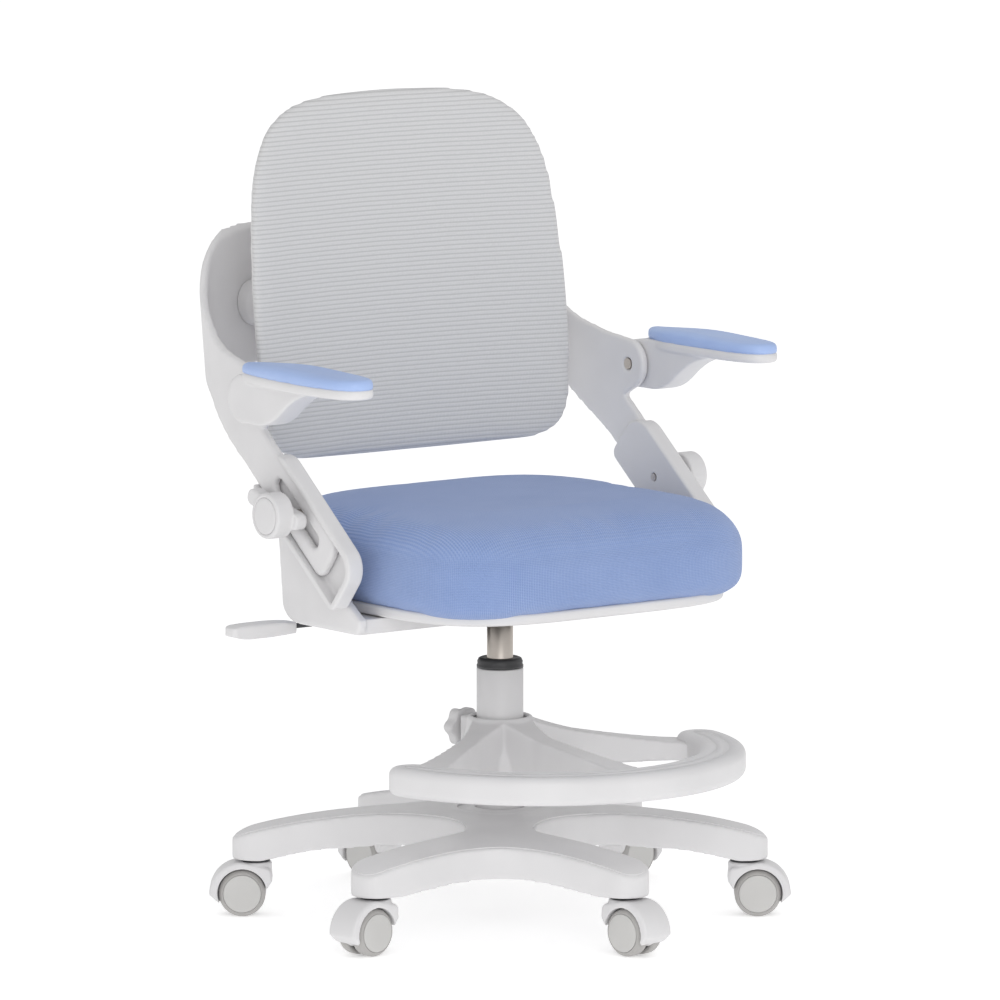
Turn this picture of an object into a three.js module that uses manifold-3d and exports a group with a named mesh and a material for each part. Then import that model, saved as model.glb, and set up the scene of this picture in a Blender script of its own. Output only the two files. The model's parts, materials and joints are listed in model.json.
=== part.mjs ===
// Height-adjustable study chair: six-legged castor base, gas lift, foot ring,
// padded seat, side rails, sliding yoke with flip-up armrests and a tilting back.
// Millimetres, +Z up, the sitter faces -Y, origin on the floor under the column.
import * as THREE from 'three';
import { mergeVertices } from 'three/addons/utils/BufferGeometryUtils.js';
import Module from 'manifold-3d';

const wasm = await Module();
wasm.setup();

// ---- driving dimensions -------------------------------------------------
const gap = 0.3;                 // clearance between touching pieces
const wheelRadius = 25;
const wheelWidth = 14.5;
const castorTrail = 14;          // wheel centre behind the swivel axis
const castorTop = 58;            // swivel neck top above the floor
const stemCircle = 261;          // radius of the six swivel axes
const stemAngles = [143, 83, 23, -37, -97, -157];   // plan angles of the six castors
const castorTurns = [0, 15, -15, 0, 15, -15];       // each castor's own swing at rest
const legHalfWidth = 25;
const trunkHalfWidth = 38;
const baseTurn = -37;            // plan angle of the straight pair of legs, degrees
const hubTop = 118;
const legBottom = 61;
const tubeRadius = 25;
const tubeTop = 267;
const liftRadius = 14;           // gas cylinder
const ringCentreY = -71;         // foot ring arc centre, in front of the column
const ringOuter = 218;
const ringInner = 169;
const ringShort = 9;              // each end stops this many degrees short of a half circle
const ringBottom = 162;
const ringTop = 192;
const collarTop = 216;
const seatHalf = 212;            // half width of the cushion
const seatFront = -212;
const seatRear = 200;
const trayBottom = 345.3;
const cushionBottom = 357.3;
const cushionTop = 452;
const trayInset = 12;            // the cushion overhangs its tray
const railAngle = 39;            // slope of the side rails below horizontal
const railTopMid = [85, 494];    // y, z of the middle of the rail's upper end
const railLength = 186;
const railHalfWidth = 33.5;
const railInnerX = 230;
const boltAlong = 71;            // lock bolt, measured down the rail
const plateInnerX = 236.4;       // inner face of the yoke's side walls
const yokeWall = 9.4;
const yokeLean = 0.12;           // rearwards per unit of height
const armPivot = [85, 567];      // y, z of the armrest hinge
const armHubRadius = 26;
const hubX = 136;                // back pivots left and right of the middle
const backPivot = [238, 644];    // y, z of the back's hinge
const backWidth = 418;
const backHeight = 398;
const backBottom = [129.5, 484];   // y, z of the back's lower edge at its sides
const backRecline = 6.8;         // degrees
const backRadius = 840;          // plan curve of the back's front face

const rad = THREE.MathUtils.degToRad;

// ---- helpers ------------------------------------------------------------
// A closed three.js geometry as a solid that can be cut and joined.
function solid(geometry) {
  const bare = geometry.clone();
  bare.deleteAttribute('normal');
  bare.deleteAttribute('uv');
  const merged = mergeVertices(bare, 1e-4);
  const corners = merged.index.array;
  const kept = [];
  for (let i = 0; i < corners.length; i += 3) {
    const [a, b, c] = corners.slice(i, i + 3);
    if (a !== b && b !== c && c !== a) kept.push(a, b, c);
  }
  const mesh = new wasm.Mesh({
    numProp: 3,
    vertProperties: new Float32Array(merged.attributes.position.array),
    triVerts: new Uint32Array(kept),
  });
  return new wasm.Manifold(mesh);
}

function toGeometry(manifold) {
  const mesh = manifold.getMesh();
  const geometry = new THREE.BufferGeometry();
  geometry.setAttribute('position', new THREE.BufferAttribute(new Float32Array(mesh.vertProperties), 3));
  geometry.setIndex(new THREE.BufferAttribute(new Uint32Array(mesh.triVerts), 1));
  geometry.computeVertexNormals();
  return geometry;
}

// A box from its low and high corners.
function block(low, high) {
  const size = high.map((value, i) => value - low[i]);
  const geometry = new THREE.BoxGeometry(...size);
  return geometry.translate(low[0] + size[0] / 2, low[1] + size[1] / 2, low[2] + size[2] / 2);
}

// A cylinder between two heights along an axis, centred on the other two values.
function rod(axis, radius, from, to, centre, sides = 20) {
  const geometry = new THREE.CylinderGeometry(radius, radius, to - from, sides);
  if (axis === 'z') geometry.rotateX(Math.PI / 2).translate(centre[0], centre[1], (from + to) / 2);
  if (axis === 'y') geometry.translate(centre[0], (from + to) / 2, centre[1]);
  if (axis === 'x') geometry.rotateZ(Math.PI / 2).translate((from + to) / 2, centre[0], centre[1]);
  return geometry;
}

// A turned shape about Z from [radius, height] pairs.
function turned(profile, sides = 28) {
  const points = profile.map(([radius, height]) => new THREE.Vector2(radius, height));
  return new THREE.LatheGeometry(points, sides).rotateX(Math.PI / 2);
}

function closedLoop(profile) {
  return [...profile, profile[0]];
}

// An outline in plan, extruded upwards.
function plateZ(shape, bottom, top, bevel = 0, curveSegments = 6) {
  const geometry = new THREE.ExtrudeGeometry(shape, {
    depth: top - bottom - 2 * bevel,
    bevelEnabled: bevel > 0,
    bevelThickness: bevel,
    bevelSize: bevel,
    bevelOffset: -bevel,
    bevelSegments: 1,
    curveSegments,
  });
  return geometry.translate(0, 0, bottom + bevel);
}

// An outline in the YZ plane, extruded along X between two values.
function plateX(shape, fromX, toX, bevel = 0, curveSegments = 6) {
  const flat = plateZ(shape, fromX, toX, bevel, curveSegments);
  const turn = new THREE.Matrix4().set(0, 0, 1, 0, 1, 0, 0, 0, 0, 1, 0, 0, 0, 0, 0, 1);
  return flat.applyMatrix4(turn);
}

// A rounded rectangle, its corners' radii given from the lower left round.
function roundedOutline(x0, y0, x1, y1, radii) {
  const [a, b, c, d] = radii;
  const shape = new THREE.Shape();
  shape.moveTo(x0 + a, y0);
  shape.lineTo(x1 - b, y0);
  shape.absarc(x1 - b, y0 + b, b, -Math.PI / 2, 0, false);
  shape.lineTo(x1, y1 - c);
  shape.absarc(x1 - c, y1 - c, c, 0, Math.PI / 2, false);
  shape.lineTo(x0 + d, y1);
  shape.absarc(x0 + d, y1 - d, d, Math.PI / 2, Math.PI, false);
  shape.lineTo(x0, y0 + a);
  shape.absarc(x0 + a, y0 + a, a, Math.PI, 1.5 * Math.PI, false);
  return shape;
}

// A squared-off oval: power 2 is an ellipse, higher is squarer.
function squircle(halfX, halfY, centreX, centreY, power, steps = 32) {
  const points = [];
  for (let i = 0; i < steps; i += 1) {
    const angle = (2 * Math.PI * i) / steps;
    const x = Math.sign(Math.cos(angle)) * Math.abs(Math.cos(angle)) ** (2 / power);
    const y = Math.sign(Math.sin(angle)) * Math.abs(Math.sin(angle)) ** (2 / power);
    points.push(new THREE.Vector2(centreX + halfX * x, centreY + halfY * y));
  }
  return new THREE.Shape(points);
}

function polygon(points) {
  return new THREE.Shape(points.map(([x, y]) => new THREE.Vector2(x, y)));
}

// A round bar along a smooth curve.
function bentBar(points, radius, steps, sides = 8) {
  const path = new THREE.CatmullRomCurve3(points.map((p) => new THREE.Vector3(...p)));
  const section = new THREE.Shape();
  section.absarc(0, 0, radius, 0, 2 * Math.PI, false);
  return new THREE.ExtrudeGeometry(section, {
    steps,
    extrudePath: path,
    curveSegments: sides / 2,
    bevelEnabled: false,
  });
}

// The same solid on the other side of the middle plane, its faces still pointing out.
function mirrored(manifold) {
  const geometry = toGeometry(manifold).scale(-1, 1, 1);
  const corners = geometry.index.array;
  for (let i = 0; i < corners.length; i += 3) {
    [corners[i], corners[i + 1]] = [corners[i + 1], corners[i]];
  }
  geometry.computeVertexNormals();
  return geometry;
}

// ---- materials ----------------------------------------------------------
const finish = {
  white: { color: 0xe9e7e8, roughness: 0.45, metalness: 0 },
  grey: { color: 0xc9c6c6, roughness: 0.4, metalness: 0 },
  dark: { color: 0x3a3a3c, roughness: 0.5, metalness: 0 },
  steel: { color: 0xb9b2a8, roughness: 0.28, metalness: 1 },
  blackSteel: { color: 0x4a4a4d, roughness: 0.4, metalness: 0.8 },
  blue: { color: 0x7e98d4, roughness: 0.85, metalness: 0 },
  knit: { color: 0xb4b6ba, roughness: 0.9, metalness: 0 },
  board: { color: 0xb89a6a, roughness: 0.8, metalness: 0 },
};

const chair = new THREE.Group();

function add(name, shape, look) {
  const geometry = shape instanceof THREE.BufferGeometry ? shape : toGeometry(shape);
  const part = new THREE.Mesh(geometry, new THREE.MeshStandardMaterial(finish[look]));
  part.name = name;
  chair.add(part);
  return part;
}

// ---- castor base --------------------------------------------------------
// A quarter of the plan: half a straight side leg, then a trunk that forks to the next leg.
function basePlan() {
  const quarter = new THREE.Path();
  quarter.absarc(stemCircle, 0, legHalfWidth, 0, Math.PI / 2, false);
  quarter.lineTo(157, legHalfWidth + 2);
  quarter.bezierCurveTo(92, 30, 36, 52, trunkHalfWidth, 127);
  quarter.quadraticCurveTo(40, 140, 60, 151);
  const forkAngle = rad(30);
  const fork = [stemCircle / 2, stemCircle * Math.cos(rad(30))];
  quarter.absarc(...fork, legHalfWidth, forkAngle - Math.PI / 2, forkAngle + Math.PI / 2, false);
  quarter.bezierCurveTo(80, 228, 40, 201, 0, 200);
  const points = quarter.getPoints(5).slice(0, -1);
  const across = (sx, sy) => points.map((p) => new THREE.Vector2(sx * p.x, sy * p.y));
  const middle = [new THREE.Vector2(0, 200), new THREE.Vector2(0, -200)];
  return new THREE.Shape([
    ...across(1, 1), middle[0], ...across(-1, 1).slice(1).reverse(),
    ...across(-1, -1), middle[1], ...across(1, -1).slice(1).reverse(),
  ]);
}

// Arched legs: the height of the top falls with the distance from the column.
const baseTop = [
  [286, 84], [262, 93.5], [214, 103.6], [157, 111], [108, 114], [45, 115],
];
function starBase() {
  const turn = rad(baseTurn);
  let base = solid(plateZ(basePlan(), 40, 140).rotateZ(turn));
  base = base.intersect(solid(turned([
    [0, 58], [44, 58], [60, 66], [106, 80], [157, 76], [200, 72.6], [242, 64], [256, legBottom],
    [288, legBottom], [288, 82], ...baseTop, [29.5, hubTop - 2], [28.5, hubTop], [0, hubTop],
  ], 30)));
  // the legs are hollow underneath, open downwards
  const bays = [block([62, -18, 30], [228, 18, 130]), block([-228, -18, 30], [-62, 18, 130])];
  for (const side of [-1, 1]) {
    bays.push(block([-30, side * 108 - 46, 30], [30, side * 108 + 46, 130]));
    for (const way of [-1, 1]) {
      const bay = block([-2, -18, 30], [76, 18, 130]).rotateZ(rad(30));
      bays.push(bay.translate(34, 170, 0).applyMatrix4(new THREE.Matrix4().makeRotationY(
        way > 0 ? 0 : Math.PI)).translate(0, 0, way > 0 ? 0 : 160).rotateZ(side > 0 ? 0 : Math.PI));
    }
  }
  const under = solid(turned([
    [0, 20], [290, 20], ...baseTop.slice(0, -1).map(([r, z]) => [r, z - 6]), [52, 109], [0, 109],
  ], 30));
  for (const bay of bays) base = base.subtract(solid(bay.rotateZ(turn)).intersect(under));
  base = base.subtract(solid(rod('z', tubeRadius + gap, 0, 200, [0, 0], 28)));
  for (const angle of stemAngles) {
    const centre = [stemCircle * Math.cos(rad(angle)), stemCircle * Math.sin(rad(angle))];
    base = base.subtract(solid(rod('z', 5.6, 50, 80, centre, 8)));
  }
  return base;
}
add('star_base', starBase(), 'white');

// ---- castors ------------------------------------------------------------
// Built with the swivel axis on Z and the wheels trailing towards +X.
function castorHood() {
  const cover = new THREE.Shape();
  cover.moveTo(castorTrail + 35.5, 24);
  cover.absarc(castorTrail + 1, 24, 34.5, 0, rad(100), false);
  cover.lineTo(-16, castorTop - 5);
  cover.lineTo(-18, 38);
  cover.lineTo(-12, 29);
  cover.lineTo(castorTrail - 20, 27);
  cover.lineTo(castorTrail - 20, 12);
  cover.lineTo(castorTrail + 20, 12);
  cover.lineTo(castorTrail + 28, 17);
  const side = new THREE.ExtrudeGeometry(cover, {
    depth: 38, bevelEnabled: false, curveSegments: 7,
  }).rotateX(Math.PI / 2).translate(0, 19, 0);
  let hood = solid(side);
  hood = hood.add(solid(rod('z', 17.5, 36, castorTop, [0, 0], 16)));
  for (const side of [-1, 1]) {
    const well = rod('y', wheelRadius + 1.3, side > 0 ? 3.5 : -24, side > 0 ? 24 : -3.5,
      [castorTrail, wheelRadius], 20);
    hood = hood.subtract(solid(well));
  }
  hood = hood.add(solid(rod('z', 5, castorTop - 2, 78, [0, 0], 8)));
  return hood.add(solid(rod('y', 3, -15, 15, [castorTrail, wheelRadius], 8)));
}

// One wheel: tread, bevelled rim and a raised cap; its bore faces the hood.
function castorWheel(side) {
  const inner = 4.2;
  const profile = [
    [0, inner + 11.6], [3.4, inner + 11.6], [3.4, inner], [wheelRadius, inner],
    [wheelRadius, inner + 11], [20, inner + wheelWidth], [0, inner + wheelWidth],
  ];
  const wheel = turned(profile, 20).rotateX(side > 0 ? -Math.PI / 2 : Math.PI / 2);
  return wheel.translate(castorTrail, 0, wheelRadius);
}

// each castor trails outwards; the diagonal pairs are turned a little to the side
const hoodSolid = castorHood();
stemAngles.forEach((planAngle, i) => {
  const angle = rad(planAngle);
  const swivel = new THREE.Matrix4().makeRotationZ(rad(planAngle + castorTurns[i]));
  swivel.setPosition(stemCircle * Math.cos(angle), stemCircle * Math.sin(angle), 0);
  add(`castor_${i + 1}_hood`, toGeometry(hoodSolid).applyMatrix4(swivel), 'white');
  add(`castor_${i + 1}_wheel_a`, toGeometry(solid(castorWheel(1))).applyMatrix4(swivel), 'grey');
  add(`castor_${i + 1}_wheel_b`, toGeometry(solid(castorWheel(-1))).applyMatrix4(swivel), 'grey');
});

// ---- column and gas lift ------------------------------------------------
add('column_tube', solid(turned(closedLoop([
  [5.8, 72], [22, 72], [22, 62], [tubeRadius, 62], [tubeRadius, tubeTop],
  [22, tubeTop], [22, 76], [5.8, 76],
]))), 'white');
add('column_bush', solid(turned(closedLoop([
  [liftRadius + 0.5, 160], [21.7, 160], [21.7, tubeTop + gap], [tubeRadius, tubeTop + gap],
  [tubeRadius, 276], [tubeRadius - 2, 278], [liftRadius + 0.5, 278],
]))), 'dark');
add('piston_rod', solid(turned([
  [0, 64], [5, 64], [5, 298], [10.8, 298.3], [10.8, 309], [0, 309],
], 16)), 'steel');
add('thrust_bearing', solid(turned(closedLoop([
  [5.6, 76.3], [12, 76.3], [12, 83], [5.6, 83],
]))), 'steel');
add('retaining_clip', solid(turned(closedLoop([
  [5.4, 68.5], [9, 68.5], [9, 71.7], [5.4, 71.7],
]), 16)), 'blackSteel');
add('gas_cylinder', solid(turned(closedLoop([
  [5.6, 90], [liftRadius, 90], [liftRadius, 325.5], [2.8, 325.5], [2.8, 318], [11.5, 318],
  [11.5, 97], [5.6, 97],
]))), 'steel');
add('release_pin', solid(turned([
  [0, 315.5], [2.4, 315.5], [2.4, 330], [4.5, 330.3], [4.5, 333], [0, 333],
], 12)), 'steel');

// ---- foot ring ----------------------------------------------------------
add('foot_ring_sleeve', solid(turned(closedLoop([
  [tubeRadius + 0.4, 165], [29, 165], [29, 213], [tubeRadius + 0.4, 213],
]))), 'dark');

// A half circle of bar with round ends, open towards the sitter.
function ringArc() {
  const middle = (ringOuter + ringInner) / 2;
  const half = (ringOuter - ringInner) / 2;
  const start = Math.PI + rad(ringShort);
  const end = 2 * Math.PI - rad(ringShort);
  const arc = new THREE.Shape();
  arc.absarc(0, 0, ringOuter, start, end, false);
  arc.absarc(middle * Math.cos(end), middle * Math.sin(end), half, end, end + Math.PI, false);
  arc.absarc(0, 0, ringInner, end, start, true);
  arc.absarc(middle * Math.cos(start), middle * Math.sin(start), half, start + Math.PI,
    start + 2 * Math.PI, false);
  return plateZ(arc, ringBottom, ringTop, 6, 12).translate(0, ringCentreY, 0);
}

// A tapered arm from the collar to the bar.
function ringArm(toX, toY) {
  const length = Math.hypot(toX, toY);
  const side = polygon([[24, 158], [length, 165], [length, 186], [60, 204], [24, 212]]);
  const arm = plateX(side, -11, 11);
  // a plate along +Y is turned to point at the bar
  return solid(arm.rotateZ(Math.atan2(toY, toX) - Math.PI / 2));
}

function footRing() {
  let ring = solid(ringArc());
  const middle = (ringOuter + ringInner) / 2;
  ring = ring.add(ringArm(0, ringCentreY - middle));
  const tipX = middle * Math.cos(rad(ringShort)) - 6;
  const tipY = ringCentreY - middle * Math.sin(rad(ringShort));
  ring = ring.add(ringArm(tipX, tipY)).add(ringArm(-tipX, tipY));
  ring = ring.add(solid(turned(closedLoop([
    [20, 156], [44, 156], [41, 175], [35, 207], [34, collarTop - 2], [33, collarTop], [20, collarTop],
  ]))));
  ring = ring.add(solid(block([-13, 20, 180], [13, 55, 210])));
  ring = ring.subtract(solid(rod('z', 29.4, 100, 300, [0, 0], 28)));
  return ring.subtract(solid(rod('y', 4.5, 10, 80, [0, 195], 16)));
}
add('foot_ring', footRing(), 'white');

// A wheel with finger lobes; reach is from the middle to a lobe's crown.
function lobedOutline(reach, lobes, depth) {
  const points = [];
  for (let i = 0; i < lobes * 4; i += 1) {
    const angle = (2 * Math.PI * i) / (lobes * 4);
    const radius = reach - depth * (0.5 - 0.5 * Math.cos(lobes * angle));
    points.push([radius * Math.cos(angle), radius * Math.sin(angle)]);
  }
  return polygon(points);
}

const studTip = 29.3;
add('ring_knob', (() => {
  const lobed = plateZ(lobedOutline(21.5, 6, 3.5), 0, 15, 2);
  let knob = solid(lobed.rotateX(-Math.PI / 2).translate(0, 59, 195));
  return knob.subtract(solid(rod('y', 4.3, 50, 70, [0, 195], 16)));
})(), 'white');
add('ring_knob_stud', rod('y', 4, studTip, 69.5, [0, 195], 16), 'steel');

// ---- seat ---------------------------------------------------------------
const mechHalfX = 60;
const mechWall = 3;
const leverY = 90;
const leverZ = 319;

function seatMechanism() {
  // shallow in front, deeper at the rear where the lever passes
  const side = polygon([[-50, 328], [30, 328], [66, 309], [108, 309], [108, 345], [-50, 345]]);
  let pan = solid(plateX(side, -mechHalfX, mechHalfX));
  pan = pan.subtract(solid(block([-mechHalfX + mechWall, -47, 300], [mechHalfX - mechWall, 105, 341])));
  pan = pan.add(solid(rod('z', 20, 318, 342, [0, 0], 20)));
  pan = pan.subtract(solid(rod('z', liftRadius + 0.4, 300, 337, [0, 0], 28)));
  // the lever reaches the valve through this side of the socket
  pan = pan.subtract(solid(block([-15, -8, 327], [15, 34, 341])));
  return pan.subtract(solid(rod('x', 9, -70, -50, [leverY, leverZ], 20)));
}
add('seat_mechanism', seatMechanism(), 'blackSteel');

add('lever_bush', solid(rod('x', 8.6, -64, -53, [leverY, leverZ], 20))
  .subtract(solid(rod('x', 6.2, -70, -50, [leverY, leverZ], 16))), 'dark');

add('lift_lever', solid(bentBar([
  [-222, leverY, leverZ], [-150, leverY, leverZ], [-75, leverY, leverZ], [-52, leverY - 1, 319.5],
  [-36, 74, 323], [-16, 42, 331], [0, 12, 336], [0, -2, 336.2],
], 2.8, 14, 8)), 'blackSteel');

add('lever_grip', (() => {
  const paddle = roundedOutline(-291, leverY - 12, -208, leverY + 12, [11, 5, 5, 11]);
  const grip = solid(plateZ(paddle, 311, 327, 4, 3));
  return grip.subtract(solid(rod('x', 3.2, -223, -200, [leverY, 319], 12)));
})(), 'white');

// A side bracket: an upright plate that carries the rail and an arm under the seat.
function bracket() {
  const upright = new THREE.Shape();
  upright.moveTo(86, 424);
  upright.lineTo(78, 345);
  upright.quadraticCurveTo(70, 328, 48, 328);
  upright.lineTo(-56, 328);
  upright.lineTo(-60, 344);
  upright.lineTo(-20, 372);
  upright.lineTo(60, 430);
  let piece = solid(plateX(upright, -229.7, -219));
  return piece.add(solid(block([-229.7, -56, 328], [-mechHalfX - gap, 48, 344])));
}
add('bracket_right', bracket(), 'white');
add('bracket_left', mirrored(bracket()), 'white');

// A point on the rail's side: how far down it and how far across it (forwards), as y and z.
const railDown = [-Math.cos(rad(railAngle)), -Math.sin(rad(railAngle))];
function onRail(along, across) {
  return [
    railTopMid[0] + along * railDown[0] + across * railDown[1],
    railTopMid[1] + along * railDown[1] - across * railDown[0],
  ];
}
const boltPoint = onRail(boltAlong, 0);

// An outline drawn down the rail and across it (rearwards), placed on the side plane.
function railPlate(shape, fromX, toX, bevel = 0) {
  const flat = plateZ(shape, fromX, toX, bevel, 4);
  const [dy, dz] = railDown;
  const turn = new THREE.Matrix4().set(
    0, 0, 1, 0, dy, -dz, 0, railTopMid[0], dz, dy, 0, railTopMid[1], 0, 0, 0, 1,
  );
  return flat.applyMatrix4(turn);
}

const lip = 7;                   // wall round the rail's recess
function rail() {
  const outer = roundedOutline(0, -railHalfWidth, railLength, railHalfWidth, [10, 30, 26, 10]);
  const recess = roundedOutline(-20, -railHalfWidth + lip, railLength - lip, railHalfWidth - lip,
    [2, 24, 20, 2]);
  let piece = solid(railPlate(outer, -250, -railInnerX, 1.5));
  piece = piece.subtract(solid(railPlate(recess, -260, -plateInnerX + 0.4)));
  return piece.subtract(solid(rod('x', 4.4, -270, -200, boltPoint, 16)));
}
add('rail_right', rail(), 'white');
add('rail_left', mirrored(rail()), 'white');

const knobFace = 286;
function lockBolt() {
  return solid(rod('x', 4, -knobFace + 6, -railInnerX + 0.5, boltPoint, 16));
}

// A round knob on a two-ended wing bar.
function lockKnob() {
  const wing = roundedOutline(-50, -9, 62, 9, [8, 8, 8, 8]);
  const bar = plateZ(wing, -knobFace + 20, -plateInnerX - yokeWall - 5.3, 2, 4);
  const turn = new THREE.Matrix4().set(0, 0, 1, 0, 1, 0, 0, 0, 0, 1, 0, 0, 0, 0, 0, 1);
  bar.applyMatrix4(turn).rotateX(rad(14)).translate(0, ...boltPoint);
  const round = new THREE.CylinderGeometry(24.3, 24.3, 22, 24).rotateZ(Math.PI / 2);
  let knob = solid(bar).add(solid(round.translate(-knobFace + 11, ...boltPoint)));
  knob = knob.subtract(solid(rod('x', 19.8, -knobFace - 5, -knobFace + 2.6, boltPoint, 20)));
  return knob.subtract(solid(rod('x', 4.4, -knobFace, -240, boltPoint, 16)));
}

function knobCap() {
  return solid(rod('x', 19.4, -knobFace - 0.3, -knobFace + 2.2, boltPoint, 20));
}
add('lock_bolt_right', lockBolt(), 'steel');
add('lock_bolt_left', mirrored(lockBolt()), 'steel');
add('lock_knob_right', lockKnob(), 'white');
add('lock_knob_left', mirrored(lockKnob()), 'white');
add('lock_cap_right', knobCap(), 'white');
add('lock_cap_left', mirrored(knobCap()), 'white');

const seatMidY = (seatFront + seatRear) / 2;
const seatHalfY = (seatRear - seatFront) / 2;
function trayPlan(inset) {
  return squircle(seatHalf - trayInset - inset, seatHalfY - trayInset - inset, 0, seatMidY, 4);
}
add('seat_tray', solid(plateZ(trayPlan(0), trayBottom, cushionBottom - gap, 3))
  .subtract(solid(plateZ(trayPlan(9), trayBottom + 5, 400))), 'white');
add('seat_board', plateZ(trayPlan(9.4), trayBottom + 5.3, cushionBottom - gap), 'board');
add('seat_cushion', plateZ(squircle(seatHalf, seatHalfY, 0, seatMidY, 4.6), cushionBottom,
  cushionTop, 20), 'blue');

// ---- yoke ---------------------------------------------------------------
// Plan of the U: flat sides in the rails, drawn in a little towards the rear wall.
function yokePlan(inset) {
  const side = plateInnerX + yokeWall - inset;
  const rear = 280 - inset;
  const shape = new THREE.Shape();
  shape.moveTo(side, -60);
  shape.lineTo(side, 136);
  shape.bezierCurveTo(side - 3, 164, side - 11, 184, side - 18, 212);
  shape.bezierCurveTo(side - 32, rear - 20, 150, rear - 3, 0, rear);
  shape.bezierCurveTo(-150, rear - 3, -side + 32, rear - 20, -side + 18, 212);
  shape.bezierCurveTo(-side + 11, 184, -side + 3, 164, -side, 136);
  shape.lineTo(-side, -60);
  return shape;
}

// Side view of the yoke: rail plate, armrest boss and the band rising to the rear.
function yokeProfile() {
  const end = 146;
  const half = 25.5;
  const shape = new THREE.Shape();
  shape.moveTo(...onRail(-30, half));
  shape.lineTo(...onRail(end - 22, half));
  shape.quadraticCurveTo(...onRail(end, half), ...onRail(end, half - 22));
  shape.lineTo(...onRail(end, 14 - half));
  shape.quadraticCurveTo(...onRail(end, -half), ...onRail(end - 14, -half));
  shape.lineTo(...onRail(-32, -half));
  shape.quadraticCurveTo(165, 518, 188, 540);
  shape.quadraticCurveTo(206, 566, 240, 577);
  shape.lineTo(295, 589);
  shape.lineTo(295, 734);
  shape.quadraticCurveTo(264, 730, 247, 697);
  shape.quadraticCurveTo(228, 655, 200, 628);
  shape.quadraticCurveTo(184, 612, 150, 604);
  shape.quadraticCurveTo(128, 598, 110, 597);
  shape.lineTo(armPivot[0], armPivot[1] + armHubRadius + 1);
  shape.absarc(...armPivot, armHubRadius + 1, Math.PI / 2, rad(240), false);
  return shape;
}

// The wall leans back: its plan moves rearwards as it rises.
function leaning(geometry) {
  return geometry.applyMatrix4(new THREE.Matrix4().set(
    1, 0, 0, 0, 0, 1, yokeLean, -yokeLean * 690, 0, 0, 1, 0, 0, 0, 0, 1,
  ));
}

function yoke() {
  const wall = solid(leaning(plateZ(yokePlan(0), 300, 800)))
    .subtract(solid(leaning(plateZ(yokePlan(yokeWall), 290, 810)).translate(0, -0.01, 0)))
    .subtract(solid(block([-220, -120, 290], [220, 0, 810])));
  let piece = wall.intersect(solid(plateX(yokeProfile(), -300, 300, 0, 6)));
  const slot = roundedOutline(boltAlong - 48, -8, boltAlong + 48, 8, [7.9, 7.9, 7.9, 7.9]);
  piece = piece.subtract(solid(railPlate(slot, -300, 300)));
  return piece.subtract(solid(rod('x', 6.4, -300, 300, armPivot, 16)));
}
add('yoke', yoke(), 'white');

// ---- back ---------------------------------------------------------------
// The plan curve's local frame: the lower edge is at the origin, leaning back.
function reclined(geometry) {
  return geometry.rotateX(rad(-backRecline)).translate(0, backBottom[0], backBottom[1]);
}

// An arc-shaped slab between two radii, as tall as the back.
function curvedSlab(fromRadius, toRadius) {
  const reach = Math.sqrt(backRadius ** 2 - (backWidth / 2) ** 2);
  const spread = rad(17);
  const arc = new THREE.Shape();
  arc.absarc(0, -reach, toRadius, Math.PI / 2 - spread, Math.PI / 2 + spread, false);
  arc.absarc(0, -reach, fromRadius, Math.PI / 2 + spread, Math.PI / 2 - spread, true);
  return plateZ(arc, -20, backHeight + 20, 0, 10);
}

// The back seen from the front: broad shoulders above, squarer corners below.
function backOutline(inset) {
  const half = backWidth / 2 - inset;
  const top = backHeight - inset;
  const low = inset;
  const shape = new THREE.Shape();
  shape.moveTo(-120, low);
  shape.bezierCurveTo(-60, low - 2, 60, low - 2, 120, low);
  shape.bezierCurveTo(half - 30, low + 3, half - 13, low + 34, half - 8, 90);
  shape.bezierCurveTo(half + 2, 160, half + 1, 240, half - 8, 290);
  shape.bezierCurveTo(half - 22, top - 34, 150, top - 8, 70, top - 3);
  shape.bezierCurveTo(30, top, -30, top, -70, top - 3);
  shape.bezierCurveTo(-150, top - 8, -half + 22, top - 34, -half + 8, 290);
  shape.bezierCurveTo(-half - 1, 240, -half - 2, 160, -half + 8, 90);
  shape.bezierCurveTo(-half + 13, low + 34, -half + 30, low + 3, -120, low);
  return shape;
}

function backLayer(fromRadius, toRadius, inset) {
  const front = plateZ(backOutline(inset), -150, 150, 0, 5).rotateX(Math.PI / 2);
  return solid(reclined(curvedSlab(fromRadius, toRadius))).intersect(solid(reclined(front)));
}

function backShell() {
  let shell = backLayer(backRadius + 14.4, backRadius + 22, 13);
  for (const side of [-1, 1]) {
    const lug = new THREE.Shape();
    lug.moveTo(180, 624);
    lug.lineTo(backPivot[0], backPivot[1] - 10);
    lug.absarc(...backPivot, 10, -Math.PI / 2, Math.PI / 2, false);
    lug.lineTo(180, 664);
    const x = side * hubX;
    shell = shell.add(solid(plateX(lug, x - 7, x + 7)));
  }
  const front = backLayer(backRadius - 60, backRadius + 14.4, -10);
  shell = shell.subtract(front);
  return shell.subtract(solid(rod('x', 4.4, -200, 200, backPivot, 16)));
}
add('back_shell', backShell(), 'white');
add('back_pad', backLayer(backRadius, backRadius + 14, 0), 'knit');

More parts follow.
